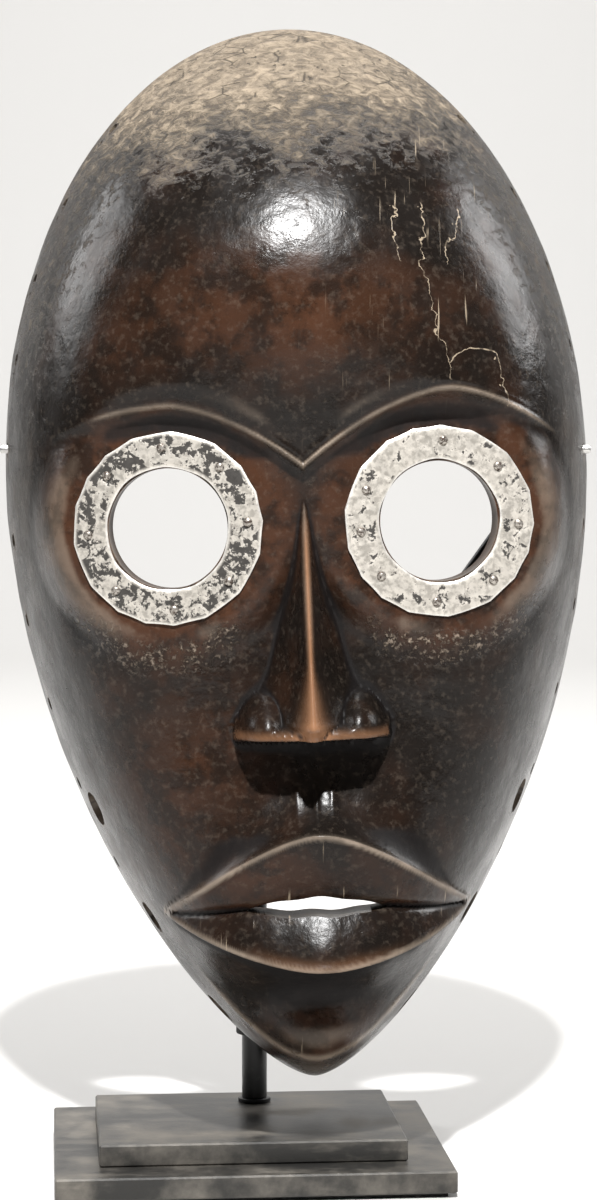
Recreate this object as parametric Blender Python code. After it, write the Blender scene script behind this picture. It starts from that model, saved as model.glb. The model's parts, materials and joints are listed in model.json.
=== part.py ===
"""A carved wooden face mask with sheet-metal eye rings, hung by two pins on a blackened steel stand.

Frame: +Z up, the mask faces -Y, and the origin is the middle of the rubber pad under the base. Metres.
"""

import math

import bmesh
import bpy
import numpy as np
from mathutils import Euler, Matrix, Vector

MM = 0.001

# The mask, in its own frame: X across, -Y forward out of the rim plane, Z up from the widest level.
MASK_HALF_WIDTH = 69.6 * MM
CROWN_HEIGHT = 106.2 * MM
JAW_HEIGHT = 142.0 * MM
FACE_DEPTH = 54.0 * MM
RIM_WALL = 5.5 * MM
FACE_WALL = 8.0 * MM
MASK_AT = Vector((11.8, 11.8, 161.9)) * MM
MASK_ROLL = math.radians(-1.65)
MASK_YAW = math.radians(1.5)

# The eyes, with a metal ring nailed round each.
EYE_X = 30.2 * MM
EYE_Z = -11.0 * MM
EYE_SEAT_DEPTH = 48.5 * MM
EYE_TILT = math.radians(8.0)
EYE_HOLE_RADIUS = 13.4 * MM
RING_OUTER = 21.5 * MM
RING_INNER = 13.7 * MM
RING_THICKNESS = 0.8 * MM
LEFT_NAILS = (93, 138, 183, 228, 273, 318, 3, 48)
RIGHT_NAILS = (86, 41, -4, -49, -94, -139, -174, 156)
NAIL_CIRCLE = 18.0 * MM
NAIL_HEAD_RADIUS = 1.0 * MM
NAIL_HEAD_HEIGHT = 0.5 * MM
NAIL_SHANK_RADIUS = 0.5 * MM
NAIL_LENGTH = 5.0 * MM

# The mouth slit and the holes round the rim.
MOUTH_SLIT_X = 1.5 * MM
MOUTH_SLIT_HALF = 18.0 * MM
MOUTH_SLIT_HEIGHT = 3.6 * MM
SMALL_HOLE_RADIUS = 1.6 * MM
SMALL_HOLE_DEPTH = 5.0 * MM
PIN_HOLE_RADIUS = 1.4 * MM
SMALL_HOLE_LEVELS = [level * MM for level in (84, 66, 48, 29, -14, -33, -53, -72, -91)]
CORD_HOLE_RADIUS = 4.2 * MM
CORD_HOLES = [(-78 * MM, 12.5 * MM), (-104 * MM, 8.5 * MM), (-126 * MM, 8.5 * MM)]

# The stand: two steel tiers on a rubber pad, and a post with a hub and two arms.
PAD = 1.0 * MM
LOWER_TIER = Vector((90.0, 72.0, 5.0)) * MM
UPPER_TIER = Vector((70.0, 52.0, 5.0)) * MM
BASE_TURN = math.radians(5.0)
POST_ON_BASE = Vector((3.0, 16.0, 0.0)) * MM
POST_RADIUS = 3.0 * MM
STEM_RADIUS = 2.0 * MM
COLLAR_RADIUS = 3.9 * MM
COLLAR_HEIGHT = 1.0 * MM
HUB_SIZE = Vector((13.0, 9.0, 12.0)) * MM
HUB_LEVEL = 70.0 * MM
ARM_RADIUS = 1.2 * MM
ARM_EYE_RADIUS = 3.4 * MM
ARM_EYE_THICKNESS = 3.0 * MM
ARM_SPREAD = 3.2 * MM
PIN_RADIUS = 1.05 * MM
PIN_Y = 5.8 * MM
PIN_Z = 167.9 * MM
PIN_HEAD_RADIUS = 2.0 * MM
PIN_HEAD_LENGTH = 2.0 * MM
LEFT_PIN_TIP = -58.6 * MM
RIGHT_PIN_TIP = 81.4 * MM
LEFT_ARM_EYE_X = -46.6 * MM
RIGHT_ARM_EYE_X = 71.6 * MM
SLEEVE_SPAN = (27.5 * MM, 36.0 * MM)
SLEEVE_RADIUS = 4.4 * MM

GAP = 0.3 * MM
RUNNING_GAP = 0.08 * MM
REST_GAP = 0.05 * MM
NUT_CEILING = 1.2 * MM
NUT_ROOM_RADIUS = 4.8 * MM
SCREW_X = 26.0 * MM
SCREW_Y = 17.0 * MM
SCREW_RADIUS = 1.45 * MM
SCREW_HEAD_RADIUS = 2.6 * MM
SCREW_ROOM = 0.4 * MM
SCREW_HEAD_DEPTH = 2.2 * MM
SCREW_REACH = 3.4 * MM
EYE_CUT_BACK = 30.0 * MM
EYE_CUT_FRONT = 12.0 * MM
CUT = 2.0 * MM
SIDES = 20

WOOD = ("dark_wood", (0.045, 0.028, 0.02), 0.35, 0.0)
SHEET = ("tarnished_sheet", (0.62, 0.6, 0.56), 0.45, 0.9)
NAIL_IRON = ("nail_iron", (0.35, 0.33, 0.31), 0.5, 0.9)
BLACK_STEEL = ("black_steel", (0.05, 0.05, 0.05), 0.5, 0.6)
BRIGHT_STEEL = ("bright_steel", (0.6, 0.59, 0.57), 0.3, 1.0)
BLACK_RUBBER = ("black_rubber", (0.03, 0.03, 0.03), 0.8, 0.0)


def clear_scene():
    for obj in list(bpy.data.objects):
        bpy.data.objects.remove(obj)


def material(finish):
    name, colour, roughness, metallic = finish
    found = bpy.data.materials.get(name)
    if found:
        return found
    made = bpy.data.materials.new(name)
    made.use_nodes = True
    shader = made.node_tree.nodes["Principled BSDF"]
    shader.inputs["Base Color"].default_value = (*colour, 1.0)
    shader.inputs["Roughness"].default_value = roughness
    shader.inputs["Metallic"].default_value = metallic
    return made


def add_object(name, mesh_builder, finish=None, parent=None, smooth=True):
    """An object from a bmesh. With no finish it is a cutter, which is never shown."""
    mesh = bpy.data.meshes.new(name)
    bmesh.ops.recalc_face_normals(mesh_builder, faces=mesh_builder.faces)
    mesh_builder.to_mesh(mesh)
    mesh_builder.free()
    obj = bpy.data.objects.new(name, mesh)
    bpy.context.scene.collection.objects.link(obj)
    obj.parent = parent
    if finish is None:
        obj.hide_render = True
        obj.display_type = "WIRE"
        return obj
    mesh.materials.append(material(finish))
    if smooth:
        mesh.shade_smooth()
        mesh.set_sharp_from_angle(angle=math.radians(35))
    return obj


def empty(name, location=(0, 0, 0), rotation=(0, 0, 0), parent=None):
    made = bpy.data.objects.new(name, None)
    made.location = location
    made.rotation_euler = rotation
    made.parent = parent
    bpy.context.scene.collection.objects.link(made)
    return made


def cut(obj, *cutters):
    for cutter in cutters:
        boolean = obj.modifiers.new(cutter.name, "BOOLEAN")
        boolean.operation = "DIFFERENCE"
        boolean.object = cutter


def rod_between(start, end, radius, sides=SIDES):
    """A bmesh rod from start to end."""
    start, end = Vector(start), Vector(end)
    axis = end - start
    made = bmesh.new()
    turn = axis.to_track_quat("Z", "Y").to_matrix().to_4x4()
    bmesh.ops.create_cone(
        made,
        cap_ends=True,
        segments=sides,
        radius1=radius,
        radius2=radius,
        depth=axis.length,
        matrix=Matrix.Translation((start + end) / 2) @ turn,
    )
    return made


def block(size, centre, bevel=0.0, turn=0.0):
    made = bmesh.new()
    placed = Matrix.Translation(centre) @ Matrix.Rotation(turn, 4, "Z")
    bmesh.ops.create_cube(made, size=1.0, matrix=placed @ Matrix.Diagonal((*size, 1.0)))
    if bevel:
        bmesh.ops.bevel(
            made,
            geom=made.edges[:],
            offset=bevel,
            offset_type="OFFSET",
            affect="EDGES",
            segments=1,
            profile=0.5,
            material=-1,
        )
    return made


def turned(profile, centre, sides=SIDES):
    """A solid of revolution about the vertical through centre. The profile holds (radius, height)."""
    made = bmesh.new()
    corners = [made.verts.new((radius, 0.0, height)) for radius, height in profile]
    edges = [made.edges.new(pair) for pair in zip(corners, corners[1:])]
    edges.append(made.edges.new((corners[-1], corners[0])))
    bmesh.ops.spin(
        made,
        geom=corners + edges,
        cent=(0, 0, 0),
        axis=(0, 0, 1),
        angle=math.tau,
        steps=sides,
        use_merge=True,
    )
    bmesh.ops.remove_doubles(made, verts=made.verts, dist=1e-7)
    bmesh.ops.translate(made, verts=made.verts, vec=centre)
    return made


# The mask's shape. These functions take and give millimetres, as numpy arrays: x across and z up
# in the mask's frame, and depth forward of the rim plane.


def ramp(low, high, value):
    share = np.clip((value - low) / (high - low), 0.0, 1.0)
    return share * share * (3.0 - 2.0 * share)


def mound(x, z, centre_x, centre_z, spread_x, spread_z):
    return np.exp(-(((x - centre_x) / spread_x) ** 2) - ((z - centre_z) / spread_z) ** 2)


def outline_half_width(z):
    """Half an ellipse over the widest level, and a longer egg shape that narrows to the chin."""
    crown = np.sqrt(np.clip(1.0 - (z * MM / CROWN_HEIGHT) ** 2, 0.0, 1.0))
    share = np.clip(-z * MM / JAW_HEIGHT, 0.0, 1.0)
    jaw = (1.0 - share**1.8) ** 0.7
    return np.where(z >= 0, crown, jaw) * MASK_HALF_WIDTH / MM


def disc_to_face(across, up):
    """Maps the unit disc onto the mask's outline."""
    z = np.where(up >= 0, up * CROWN_HEIGHT, up * JAW_HEIGHT) / MM
    chord = np.sqrt(np.clip(1.0 - up**2, 1e-9, 1.0))
    return across / chord * outline_half_width(z), z


def dome(reach, up, depth):
    """The hewn blank: steep sides, a round crown and a square-cut chin. Reach is 0 to 1 at the rim."""
    lift = np.clip(up / np.maximum(reach, 1e-6), -1.0, 1.0)
    high, low = np.clip(lift, 0.0, 1.0), np.clip(-lift, 0.0, 1.0) ** 4
    squareness = 5.8 - 2.6 * high + 3.7 * low
    roundness = 1.08 + 0.22 * high + 0.22 * low
    return depth * np.clip(1.0 - reach**squareness, 0.0, 1.0) ** (1.0 / roundness)


def modelling(x, z):
    """The broad forms, which the hollow inside follows too."""
    forehead = 7.0 * mound(x, z, 0, 46, 42, 34)
    face_plane = -6.5 * mound(x, z, 0, -50, 60, 34)
    under_lip = -10.0 * mound(x, z, 0, -118, 26, 9)
    chin = 4.0 * mound(x, z, 0, -130, 10, 7)
    return forehead + face_plane + under_lip + chin


def brow_line(x):
    """Height of the brows. They meet over the nose, and the left one is the flatter."""
    left = 16.2 - np.where(x < -30.0, 0.026, 0.0512) * np.abs(-x - 30.0) ** 1.65
    right = 18.5 - 0.051 * np.abs(x - 33.0) ** 1.65
    return np.where(np.asarray(x) < 0, left, right)


def brow_step(x, z):
    """The eye sockets lie under two arcs that meet over the nose."""
    below = ramp(1.5, -1.5, z - brow_line(x))
    fade = ramp(-48.0, -28.0, z) * ramp(62.0, 50.0, np.abs(x))
    return -2.2 * below * fade


def eye_seat(x, z, depth):
    """Flattens the wood under each ring."""
    off = np.abs(x) - EYE_X / MM
    plane = EYE_SEAT_DEPTH / MM + 0.4 - off * math.tan(EYE_TILT)
    away = np.hypot(off, z - EYE_Z / MM)
    share = ramp(30.0, 24.0, away)
    return depth * (1.0 - share) + plane * share


def on_disc(x, z):
    """The reach and height on the unit disc of a place on the face."""
    up = z * MM / np.where(z >= 0, CROWN_HEIGHT, JAW_HEIGHT)
    across = x / outline_half_width(z) * np.sqrt(1.0 - up**2)
    return np.hypot(across, up), up


def outer_depth(x, z, reach, up):
    depth = dome(reach, up, FACE_DEPTH / MM)
    depth = depth + (modelling(x, z) + brow_step(x, z)) * ramp(1.0, 0.86, reach)
    return eye_seat(x, z, depth)


def inner_depth(x, z, reach, up):
    depth = dome(reach, up, (FACE_DEPTH - FACE_WALL) / MM)
    return depth + modelling(x, z) * ramp(1.0, 0.86, reach)


def mid_wall(x, z):
    """Depth halfway through the wall, where an added form can end unseen."""
    x, z = np.asarray(x, float), np.asarray(z, float)
    reach, up = on_disc(x, z)
    depth = dome(reach, up, (FACE_DEPTH - FACE_WALL / 2) / MM)
    return depth + modelling(x, z) * ramp(1.0, 0.86, reach)


def nose_depth(x, z):
    """A thin ridge that rises to the tip, and two wings."""
    along = np.clip((-z - 1.0) / 55.5, 0.0, 1.0)
    ridge = 51.0 + 18.5 * along**1.15
    sides = ridge - 2.4 * (np.hypot(x, 1.6) - 1.6)
    wing = 1.0 - ((np.abs(x - 0.6) - 10.4) / 6.9) ** 2 - ((z + 56.5) / 11.5) ** 2
    wings = 45.0 + 14.5 * np.sqrt(np.clip(wing, 0.0, 1.0))
    return np.maximum(sides, wings)


def mouth_line(x):
    return -94.0 - 3.7 * (x / 33.5) ** 2


def loft(sections):
    """A closed body through sections with equal numbers of corners."""
    made = bmesh.new()
    rings = [[made.verts.new(corner) for corner in section] for section in sections]
    for first, second in zip(rings, rings[1:]):
        for index in range(len(first)):
            after = (index + 1) % len(first)
            made.faces.new((first[index], first[after], second[after], second[index]))
    made.faces.new(rings[0])
    made.faces.new(rings[-1])
    bmesh.ops.triangulate(made, faces=made.faces)
    return made


def nose_form():
    """The nose, flat underneath."""
    sections = []
    x = np.concatenate([np.linspace(-17.2, -2, 12), [-0.8, 0.8], np.linspace(2, 18.4, 13)])
    for z in (1, -6, -13, -20, -27, -34, -41, -45.5, -48, -50.5, -53, -56.6):
        back = mid_wall(x, np.full_like(x, z))
        depth = np.maximum(nose_depth(x, z), back + 0.3)
        front = [(here, -out, z) for here, out in zip(x, depth)]
        behind = [(x[-1], 0.3 - back[-1], z), (x[0], 0.3 - back[0], z)]
        sections.append([Vector(corner) * MM for corner in front + behind])
    return loft(sections)


def lips_form():
    """Lips that stand out from the face, turn in at the slit and are cut under below."""
    sections = []
    for share in (-0.99, -0.96, -0.9, -0.8, -0.65, -0.5, -0.33, -0.16, 0.0):
        for_both = [share] if share == 0 else [share, -share]
        for reach in for_both:
            x = 1.5 + 33.5 * reach
            rise, fall = 16.0 * (1 - abs(reach) ** 1.4), 13.6 * (1 - abs(reach) ** 1.6)
            slit = mouth_line(x)
            top, foot = slit + 0.3 + rise, slit - 0.3 - fall
            edge = float(mid_wall(x, slit)) + 3.6 + 9.0 * (1 - abs(reach) ** 2.2)
            inward = 5.0 * (1 - abs(reach))
            above = top + 0.3 + 6.0 * (1 - abs(reach))
            profile = [
                (above, float(mid_wall(x, above)) + 2.5),
                (top, edge),
                (slit + 0.55 * (top - slit), edge - 0.35 * inward),
                (slit + 0.1, edge - inward),
                (slit - 0.1, edge - inward),
                (slit - 0.5 * (slit - foot), edge - 0.3 * inward),
                (foot, edge - 0.5 * (1 - abs(reach))),
                (foot + 0.1, float(mid_wall(x, foot)) - 1.0),
                (above, float(mid_wall(x, above)) - 1.0),
            ]
            sections.append([Vector((x, -out, z)) * MM for z, out in profile])
    sections.sort(key=lambda section: section[0].x)
    return loft(sections)


def brow_form(side):
    """A thin ridge along one brow."""
    sections = []
    for x in np.linspace(0.0, 55.0, 19) * side:
        z = float(brow_line(x))
        slope = float(brow_line(x + 0.5) - brow_line(x - 0.5))
        size = 1.0 * min(1.0, (57.0 - abs(x)) / 20.0)
        reach, up = on_disc(np.asarray(x), np.asarray(z))
        depth = float(outer_depth(np.asarray(x), np.asarray(z), reach, up)) + 0.5
        up_slope = Vector((-slope, 0.0, 1.0)).normalized()
        centre = Vector((x, -depth, z))
        if x == 0:
            up_slope = Vector((0.0, 0.0, 1.0))
        corners = []
        for index in range(6):
            angle = index * math.tau / 6
            outward = Vector((0.0, -1.0, 0.0)) * math.sin(angle) + up_slope * math.cos(angle)
            corners.append((centre + outward * size) * MM)
        sections.append(corners)
    return loft(sections)


def half_ball(subdivisions):
    """The front half of an icosphere, open at the rim."""
    made = bmesh.new()
    bmesh.ops.create_icosphere(made, subdivisions=subdivisions, radius=1.0)
    bmesh.ops.bisect_plane(
        made,
        geom=made.verts[:] + made.edges[:] + made.faces[:],
        plane_co=(0, 0, 0),
        plane_no=(0, 1, 0),
        clear_outer=True,
    )
    return made


def press_onto_mask(verts, depth_rule, inset):
    """Moves half-ball vertices onto the outer or inner surface of the mask."""
    ball = np.array([vert.co for vert in verts])
    across, up = ball[:, 0], ball[:, 2]
    reach = np.clip(np.hypot(across, up), 0.0, 1.0)
    x, z = disc_to_face(across, up)
    half_width = MASK_HALF_WIDTH / MM
    height = np.where(z >= 0, CROWN_HEIGHT, JAW_HEIGHT) / MM
    x, z = x * (1.0 - inset / half_width), z * (1.0 - inset / height)
    depth = depth_rule(x, z, reach, up)
    depth[reach > 1.0 - 1e-5] = 0.0
    for vert, place in zip(verts, np.stack([x, -depth, z], axis=1) * MM):
        vert.co = place


def mask_body():
    """The carved shell: an outer face, a hollow inside, and a flat rim that joins them."""
    made = half_ball(4)
    rim = [edge for edge in made.edges if edge.is_boundary]
    copied = bmesh.ops.duplicate(made, geom=made.verts[:] + made.edges[:] + made.faces[:])
    inner = [item for item in copied["geom"] if isinstance(item, bmesh.types.BMVert)]
    twin = copied["vert_map"]
    for edge in rim:
        first, second = edge.verts
        made.faces.new((first, second, twin[second], twin[first]))
    press_onto_mask(inner, inner_depth, RIM_WALL / MM)
    # The outer sheet is still a ball of radius 1, and the inner one is now far smaller.
    face_edges = []
    for edge in made.edges:
        start, end = edge.verts
        on_rim = abs(start.co.y) < 1e-5 and abs(end.co.y) < 1e-5
        if start.co.length > 0.5 and end.co.length > 0.5 and not on_rim:
            face_edges.append(edge)
    bmesh.ops.subdivide_edges(made, edges=face_edges, cuts=1, use_grid_fill=True)
    bmesh.ops.triangulate(made, faces=made.faces)
    outer = [vert for vert in made.verts if vert.co.length > 0.5]
    for vert in outer:
        vert.co.normalize()
    press_onto_mask(outer, outer_depth, 0.0)
    return made


def eye_frame(side, parent):
    """An empty at an eye, with its +Z out of the ring."""
    out = Vector((side * math.sin(EYE_TILT), -math.cos(EYE_TILT), 0.0))
    place = Vector((side * EYE_X, -EYE_SEAT_DEPTH, EYE_Z))
    made = empty("eye_frame", place, out.to_track_quat("Z", "Y").to_euler(), parent)
    return made


def washer(outer, inner, low, high, sides):
    profile = [(inner, low), (outer, low), (outer, high), (inner, high)]
    return turned(profile, (0, 0, 0), sides)


def hand_cut(made, seed):
    """Snips the ring's outer edge a little out of round."""
    for vert in made.verts:
        radius = math.hypot(vert.co.x, vert.co.y)
        if radius > (RING_OUTER + RING_INNER) / 2:
            angle = math.atan2(vert.co.y, vert.co.x)
            wobble = 0.2 * math.sin(5 * angle + seed) + 0.18 * math.sin(11 * angle + 2 * seed)
            scale = 1.0 + (wobble - 0.2) * MM / radius
            vert.co.x *= scale
            vert.co.y *= scale


def nail():
    """A round-headed nail, point down, with its head's underside at the ring's face."""
    under = RING_THICKNESS + 2 * REST_GAP
    top = under + NAIL_HEAD_HEIGHT
    tip = under - NAIL_LENGTH
    profile = [
        (0.0, tip),
        (NAIL_SHANK_RADIUS, tip + CUT / 2),
        (NAIL_SHANK_RADIUS, under),
        (NAIL_HEAD_RADIUS, under),
        (NAIL_HEAD_RADIUS * 0.8, top - NAIL_HEAD_HEIGHT * 0.3),
        (0.0, top),
    ]
    return turned(profile, (0, 0, 0), 8)


def add_eye(side, shell, mask):
    """One eye: the hole through the wood, the ring's seat, the ring and its nails."""
    word = "left" if side < 0 else "right"
    frame = eye_frame(side, mask)
    hole = rod_between((0, 0, -EYE_CUT_BACK), (0, 0, EYE_CUT_FRONT), EYE_HOLE_RADIUS, 40)
    seat = rod_between((0, 0, 0), (0, 0, EYE_CUT_FRONT), RING_OUTER + CUT / 2, 48)
    cutters = [add_object("eye_hole_cutter", hole, parent=frame)]
    cutters.append(add_object("ring_seat_cutter", seat, parent=frame))
    ring_mesh = washer(RING_OUTER, RING_INNER, REST_GAP, REST_GAP + RING_THICKNESS, 40)
    hand_cut(ring_mesh, side)
    ring = add_object("eye_ring_" + word, ring_mesh, SHEET, frame)
    nail_mesh = None
    for index, degrees in enumerate(LEFT_NAILS if side < 0 else RIGHT_NAILS, start=1):
        angle = math.radians(degrees)
        spot = Vector((math.cos(angle), math.sin(angle), 0.0)) * NAIL_CIRCLE
        bore = NAIL_SHANK_RADIUS + GAP
        hole = rod_between((0, 0, -NAIL_LENGTH - GAP), (0, 0, CUT), bore, 8)
        cutter = add_object("nail_hole_cutter", hole, parent=frame)
        cutter.location = spot
        cut(shell, cutter)
        cut(ring, cutter)
        name = f"ring_nail_{word}_{index}"
        made = add_object(name, nail(), NAIL_IRON, frame)
        nail_mesh = nail_mesh or made.data
        made.data = nail_mesh
        made.location = spot
    cut(shell, *cutters)


def mouth_slit():
    """A lens-shaped cutter that follows the mouth line, right through the wall."""
    made = bmesh.new()
    steps = 12
    shares = [index / steps for index in range(-steps, steps + 1)]
    points = []
    for sign in (1, -1):
        for share in shares[:: -sign][1:]:
            x = MOUTH_SLIT_X + share * MOUTH_SLIT_HALF
            height = mouth_line(x / MM) * MM
            half = MOUTH_SLIT_HEIGHT / 2 * (1.0 - share**2)
            points.append((x, -90 * MM, height + sign * half))
    face = made.faces.new([made.verts.new(point) for point in points])
    grown = bmesh.ops.extrude_face_region(made, geom=[face])
    back = [item for item in grown["geom"] if isinstance(item, bmesh.types.BMVert)]
    bmesh.ops.translate(made, verts=back, vec=(0, 80 * MM, 0))
    return made


def rim_hole(side, level, depth, radius, sides):
    """A cutter square to the outline, through the side wall at that level."""
    z = level / MM
    width = float(outline_half_width(np.array(z))) * MM
    slope = float(outline_half_width(np.array(z + 1.0)) - outline_half_width(np.array(z - 1.0))) / 2
    outward = Vector((side, 0.0, -slope)).normalized()
    place = Vector((side * width, -depth, level))
    return rod_between(place - outward * 16 * MM, place + outward * 8 * MM, radius, sides)


def add_mask(mask):
    shell = add_object("mask_shell", mask_body(), WOOD, mask)
    forms = [("nose", nose_form()), ("lips", lips_form())]
    forms += [("left_brow", brow_form(-1)), ("right_brow", brow_form(1))]
    for word, shape in forms:
        form = add_object(word + "_form", shape, parent=mask)
        joined = shell.modifiers.new(word, "BOOLEAN")
        joined.operation = "UNION"
        joined.object = form
    cutters = [add_object("mouth_slit_cutter", mouth_slit(), parent=mask)]
    for side in (-1, 1):
        for level in SMALL_HOLE_LEVELS:
            hole = rim_hole(side, level, SMALL_HOLE_DEPTH, SMALL_HOLE_RADIUS, 8)
            cutters.append(add_object("rim_hole_cutter", hole, parent=mask))
        for level, depth in CORD_HOLES:
            hole = rim_hole(side, level, depth, CORD_HOLE_RADIUS, 16)
            cutters.append(add_object("cord_hole_cutter", hole, parent=mask))
    pin_line = rod_between((-0.1, PIN_Y, PIN_Z), (0.12, PIN_Y, PIN_Z), PIN_HOLE_RADIUS, 12)
    cutters.append(add_object("pin_hole_cutter", pin_line))
    cut(shell, *cutters)
    for side in (-1, 1):
        add_eye(side, shell, mask)


def on_base(place):
    return Matrix.Rotation(BASE_TURN, 3, "Z") @ Vector(place)


def add_base():
    """A rubber pad, two steel tiers, and the screws that hold the tiers together from below."""
    lower_top = PAD + REST_GAP + LOWER_TIER.z
    upper_foot = lower_top + REST_GAP
    pad_size = (LOWER_TIER.x - 4 * MM, LOWER_TIER.y - 4 * MM, PAD)
    add_object("base_pad", block(pad_size, (0, 0, PAD / 2), 0, BASE_TURN), BLACK_RUBBER, None, False)
    centre = (0, 0, lower_top - LOWER_TIER.z / 2)
    lower = add_object(
        "base_lower_tier", block(LOWER_TIER, centre, 0.4 * MM, BASE_TURN), BLACK_STEEL, None, False
    )
    centre = (0, 0, upper_foot + UPPER_TIER.z / 2)
    upper = add_object(
        "base_upper_tier", block(UPPER_TIER, centre, 0.4 * MM, BASE_TURN), BLACK_STEEL, None, False
    )
    stem_hole = rod_between((0, 0, -CUT), (0, 0, 20 * MM), STEM_RADIUS + RUNNING_GAP)
    nut_room = rod_between((0, 0, -CUT), (0, 0, lower_top - NUT_CEILING), NUT_ROOM_RADIUS)
    cutters = [add_object("stem_hole_cutter", stem_hole), add_object("nut_room_cutter", nut_room)]
    for cutter in cutters:
        cutter.location = on_base(POST_ON_BASE)
    cut(lower, *cutters)
    cut(upper, cutters[0])
    screw_foot = PAD + REST_GAP + GAP
    head_room = PAD + REST_GAP + SCREW_HEAD_DEPTH
    tip = upper_foot + SCREW_REACH
    for index in range(4):
        spot = on_base((SCREW_X * (-1) ** index, SCREW_Y * (-1) ** (index // 2), 0))
        head = rod_between((0, 0, -CUT), (0, 0, head_room), SCREW_HEAD_RADIUS + SCREW_ROOM, 16)
        shank = rod_between((0, 0, 0), (0, 0, tip + SCREW_ROOM), SCREW_RADIUS + SCREW_ROOM, 16)
        head_cutter = add_object("screw_head_cutter", head)
        shank_cutter = add_object("screw_cutter", shank)
        for cutter in (head_cutter, shank_cutter):
            cutter.location = spot
        cut(lower, head_cutter, shank_cutter)
        cut(upper, shank_cutter)
        profile = [
            (0.0, screw_foot),
            (SCREW_HEAD_RADIUS, screw_foot),
            (SCREW_HEAD_RADIUS, head_room - GAP),
            (SCREW_RADIUS, head_room - GAP),
            (SCREW_RADIUS, tip),
            (0.0, tip),
        ]
        add_object(f"base_screw_{index + 1}", turned(profile, spot, 16), BRIGHT_STEEL)
    return upper_foot + UPPER_TIER.z, lower_top - NUT_CEILING


def add_post(base_top, nut_ceiling):
    """The post turns on a collar, and a nut under the base holds its stem."""
    foot = on_base(POST_ON_BASE)
    foot.z = 0.0
    collar_top = base_top + REST_GAP + COLLAR_HEIGHT
    collar_bore = STEM_RADIUS + RUNNING_GAP
    collar = washer(COLLAR_RADIUS, collar_bore, base_top + REST_GAP, collar_top, SIDES)
    bmesh.ops.translate(collar, verts=collar.verts, vec=foot)
    add_object("post_collar", collar, BLACK_STEEL)
    stem_foot = PAD + 0.5 * MM
    post_top = HUB_LEVEL - 2 * MM
    profile = [
        (0.0, stem_foot),
        (STEM_RADIUS, stem_foot),
        (STEM_RADIUS, collar_top + REST_GAP),
        (POST_RADIUS, collar_top + REST_GAP),
        (POST_RADIUS, post_top),
        (0.0, post_top),
    ]
    add_object("post", turned(profile, foot), BLACK_STEEL)
    bore = STEM_RADIUS + GAP
    plate = washer(4.0 * MM, bore, nut_ceiling - REST_GAP - 0.6 * MM, nut_ceiling - REST_GAP, 20)
    bmesh.ops.translate(plate, verts=plate.verts, vec=foot)
    add_object("post_washer", plate, BRIGHT_STEEL)
    nut_top = nut_ceiling - 0.7 * MM
    nut = washer(4.0 * MM, bore, nut_top - 2.4 * MM, nut_top, 6)
    bmesh.ops.translate(nut, verts=nut.verts, vec=foot)
    add_object("post_nut", nut, BRIGHT_STEEL, None, False)
    low, high = SLEEVE_SPAN
    sleeve = washer(SLEEVE_RADIUS, POST_RADIUS + GAP, low, high, 20)
    bmesh.ops.translate(sleeve, verts=sleeve.verts, vec=foot)
    add_object("chin_sleeve", sleeve, BLACK_RUBBER)
    return foot


def add_arms(foot):
    """A hub on the post, and two arms that end in eyes for the pins."""
    hub_centre = foot + Vector((0, 0, HUB_LEVEL))
    hub = add_object("arm_hub", block(HUB_SIZE, hub_centre, 0.8 * MM), BLACK_STEEL, None, False)
    below = foot + Vector((0, 0, HUB_LEVEL - 12 * MM))
    socket = rod_between(below, foot + Vector((0, 0, HUB_LEVEL - 2 * MM + GAP)), POST_RADIUS + GAP)
    cut(hub, add_object("post_socket_cutter", socket))
    for word, side, eye_x in (("left", -1, LEFT_ARM_EYE_X), ("right", 1, RIGHT_ARM_EYE_X)):
        start = hub_centre + Vector((side * ARM_SPREAD, 0, 1.5 * MM))
        eye = Vector((eye_x, PIN_Y, PIN_Z))
        half = Vector((ARM_EYE_THICKNESS / 2, 0, 0))
        foot_of_eye = eye - Vector((0, 0, ARM_EYE_RADIUS - 1 * MM))
        arm = add_object(f"arm_{word}", rod_between(start, foot_of_eye, ARM_RADIUS, 12), BLACK_STEEL)
        disc = add_object("arm_eye", rod_between(eye - half, eye + half, ARM_EYE_RADIUS, 24))
        joined = arm.modifiers.new("eye", "BOOLEAN")
        joined.operation = "UNION"
        joined.object = disc
        reach = Vector((20 * MM, 0, 0))
        bore = rod_between(eye - reach, eye + reach, PIN_RADIUS + RUNNING_GAP, 24)
        cut(arm, add_object("pin_bore_cutter", bore))
        direction = (foot_of_eye - start).normalized()
        socket = rod_between(start - direction * GAP, start + direction * 20 * MM, ARM_RADIUS + GAP)
        cut(hub, add_object("arm_socket_cutter", socket))


def add_pin(word, side, eye_x, tip_x):
    """A headed pin from the arm's eye out through the rim hole."""
    head_face = eye_x - side * (ARM_EYE_THICKNESS / 2 + REST_GAP)
    line = [
        (0.0, 0.0),
        (PIN_HEAD_RADIUS, 0.0),
        (PIN_HEAD_RADIUS, PIN_HEAD_LENGTH),
        (PIN_RADIUS, PIN_HEAD_LENGTH),
        (PIN_RADIUS, abs(tip_x - head_face) + PIN_HEAD_LENGTH - 0.4 * MM),
        (PIN_RADIUS - 0.35 * MM, abs(tip_x - head_face) + PIN_HEAD_LENGTH),
        (0.0, abs(tip_x - head_face) + PIN_HEAD_LENGTH),
    ]
    made = turned(line, (0, 0, 0), 16)
    bmesh.ops.rotate(made, verts=made.verts, matrix=Matrix.Rotation(side * math.pi / 2, 3, "Y"))
    pin = add_object(f"pin_{word}", made, BRIGHT_STEEL)
    pin.location = (head_face - side * PIN_HEAD_LENGTH, PIN_Y, PIN_Z)


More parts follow.
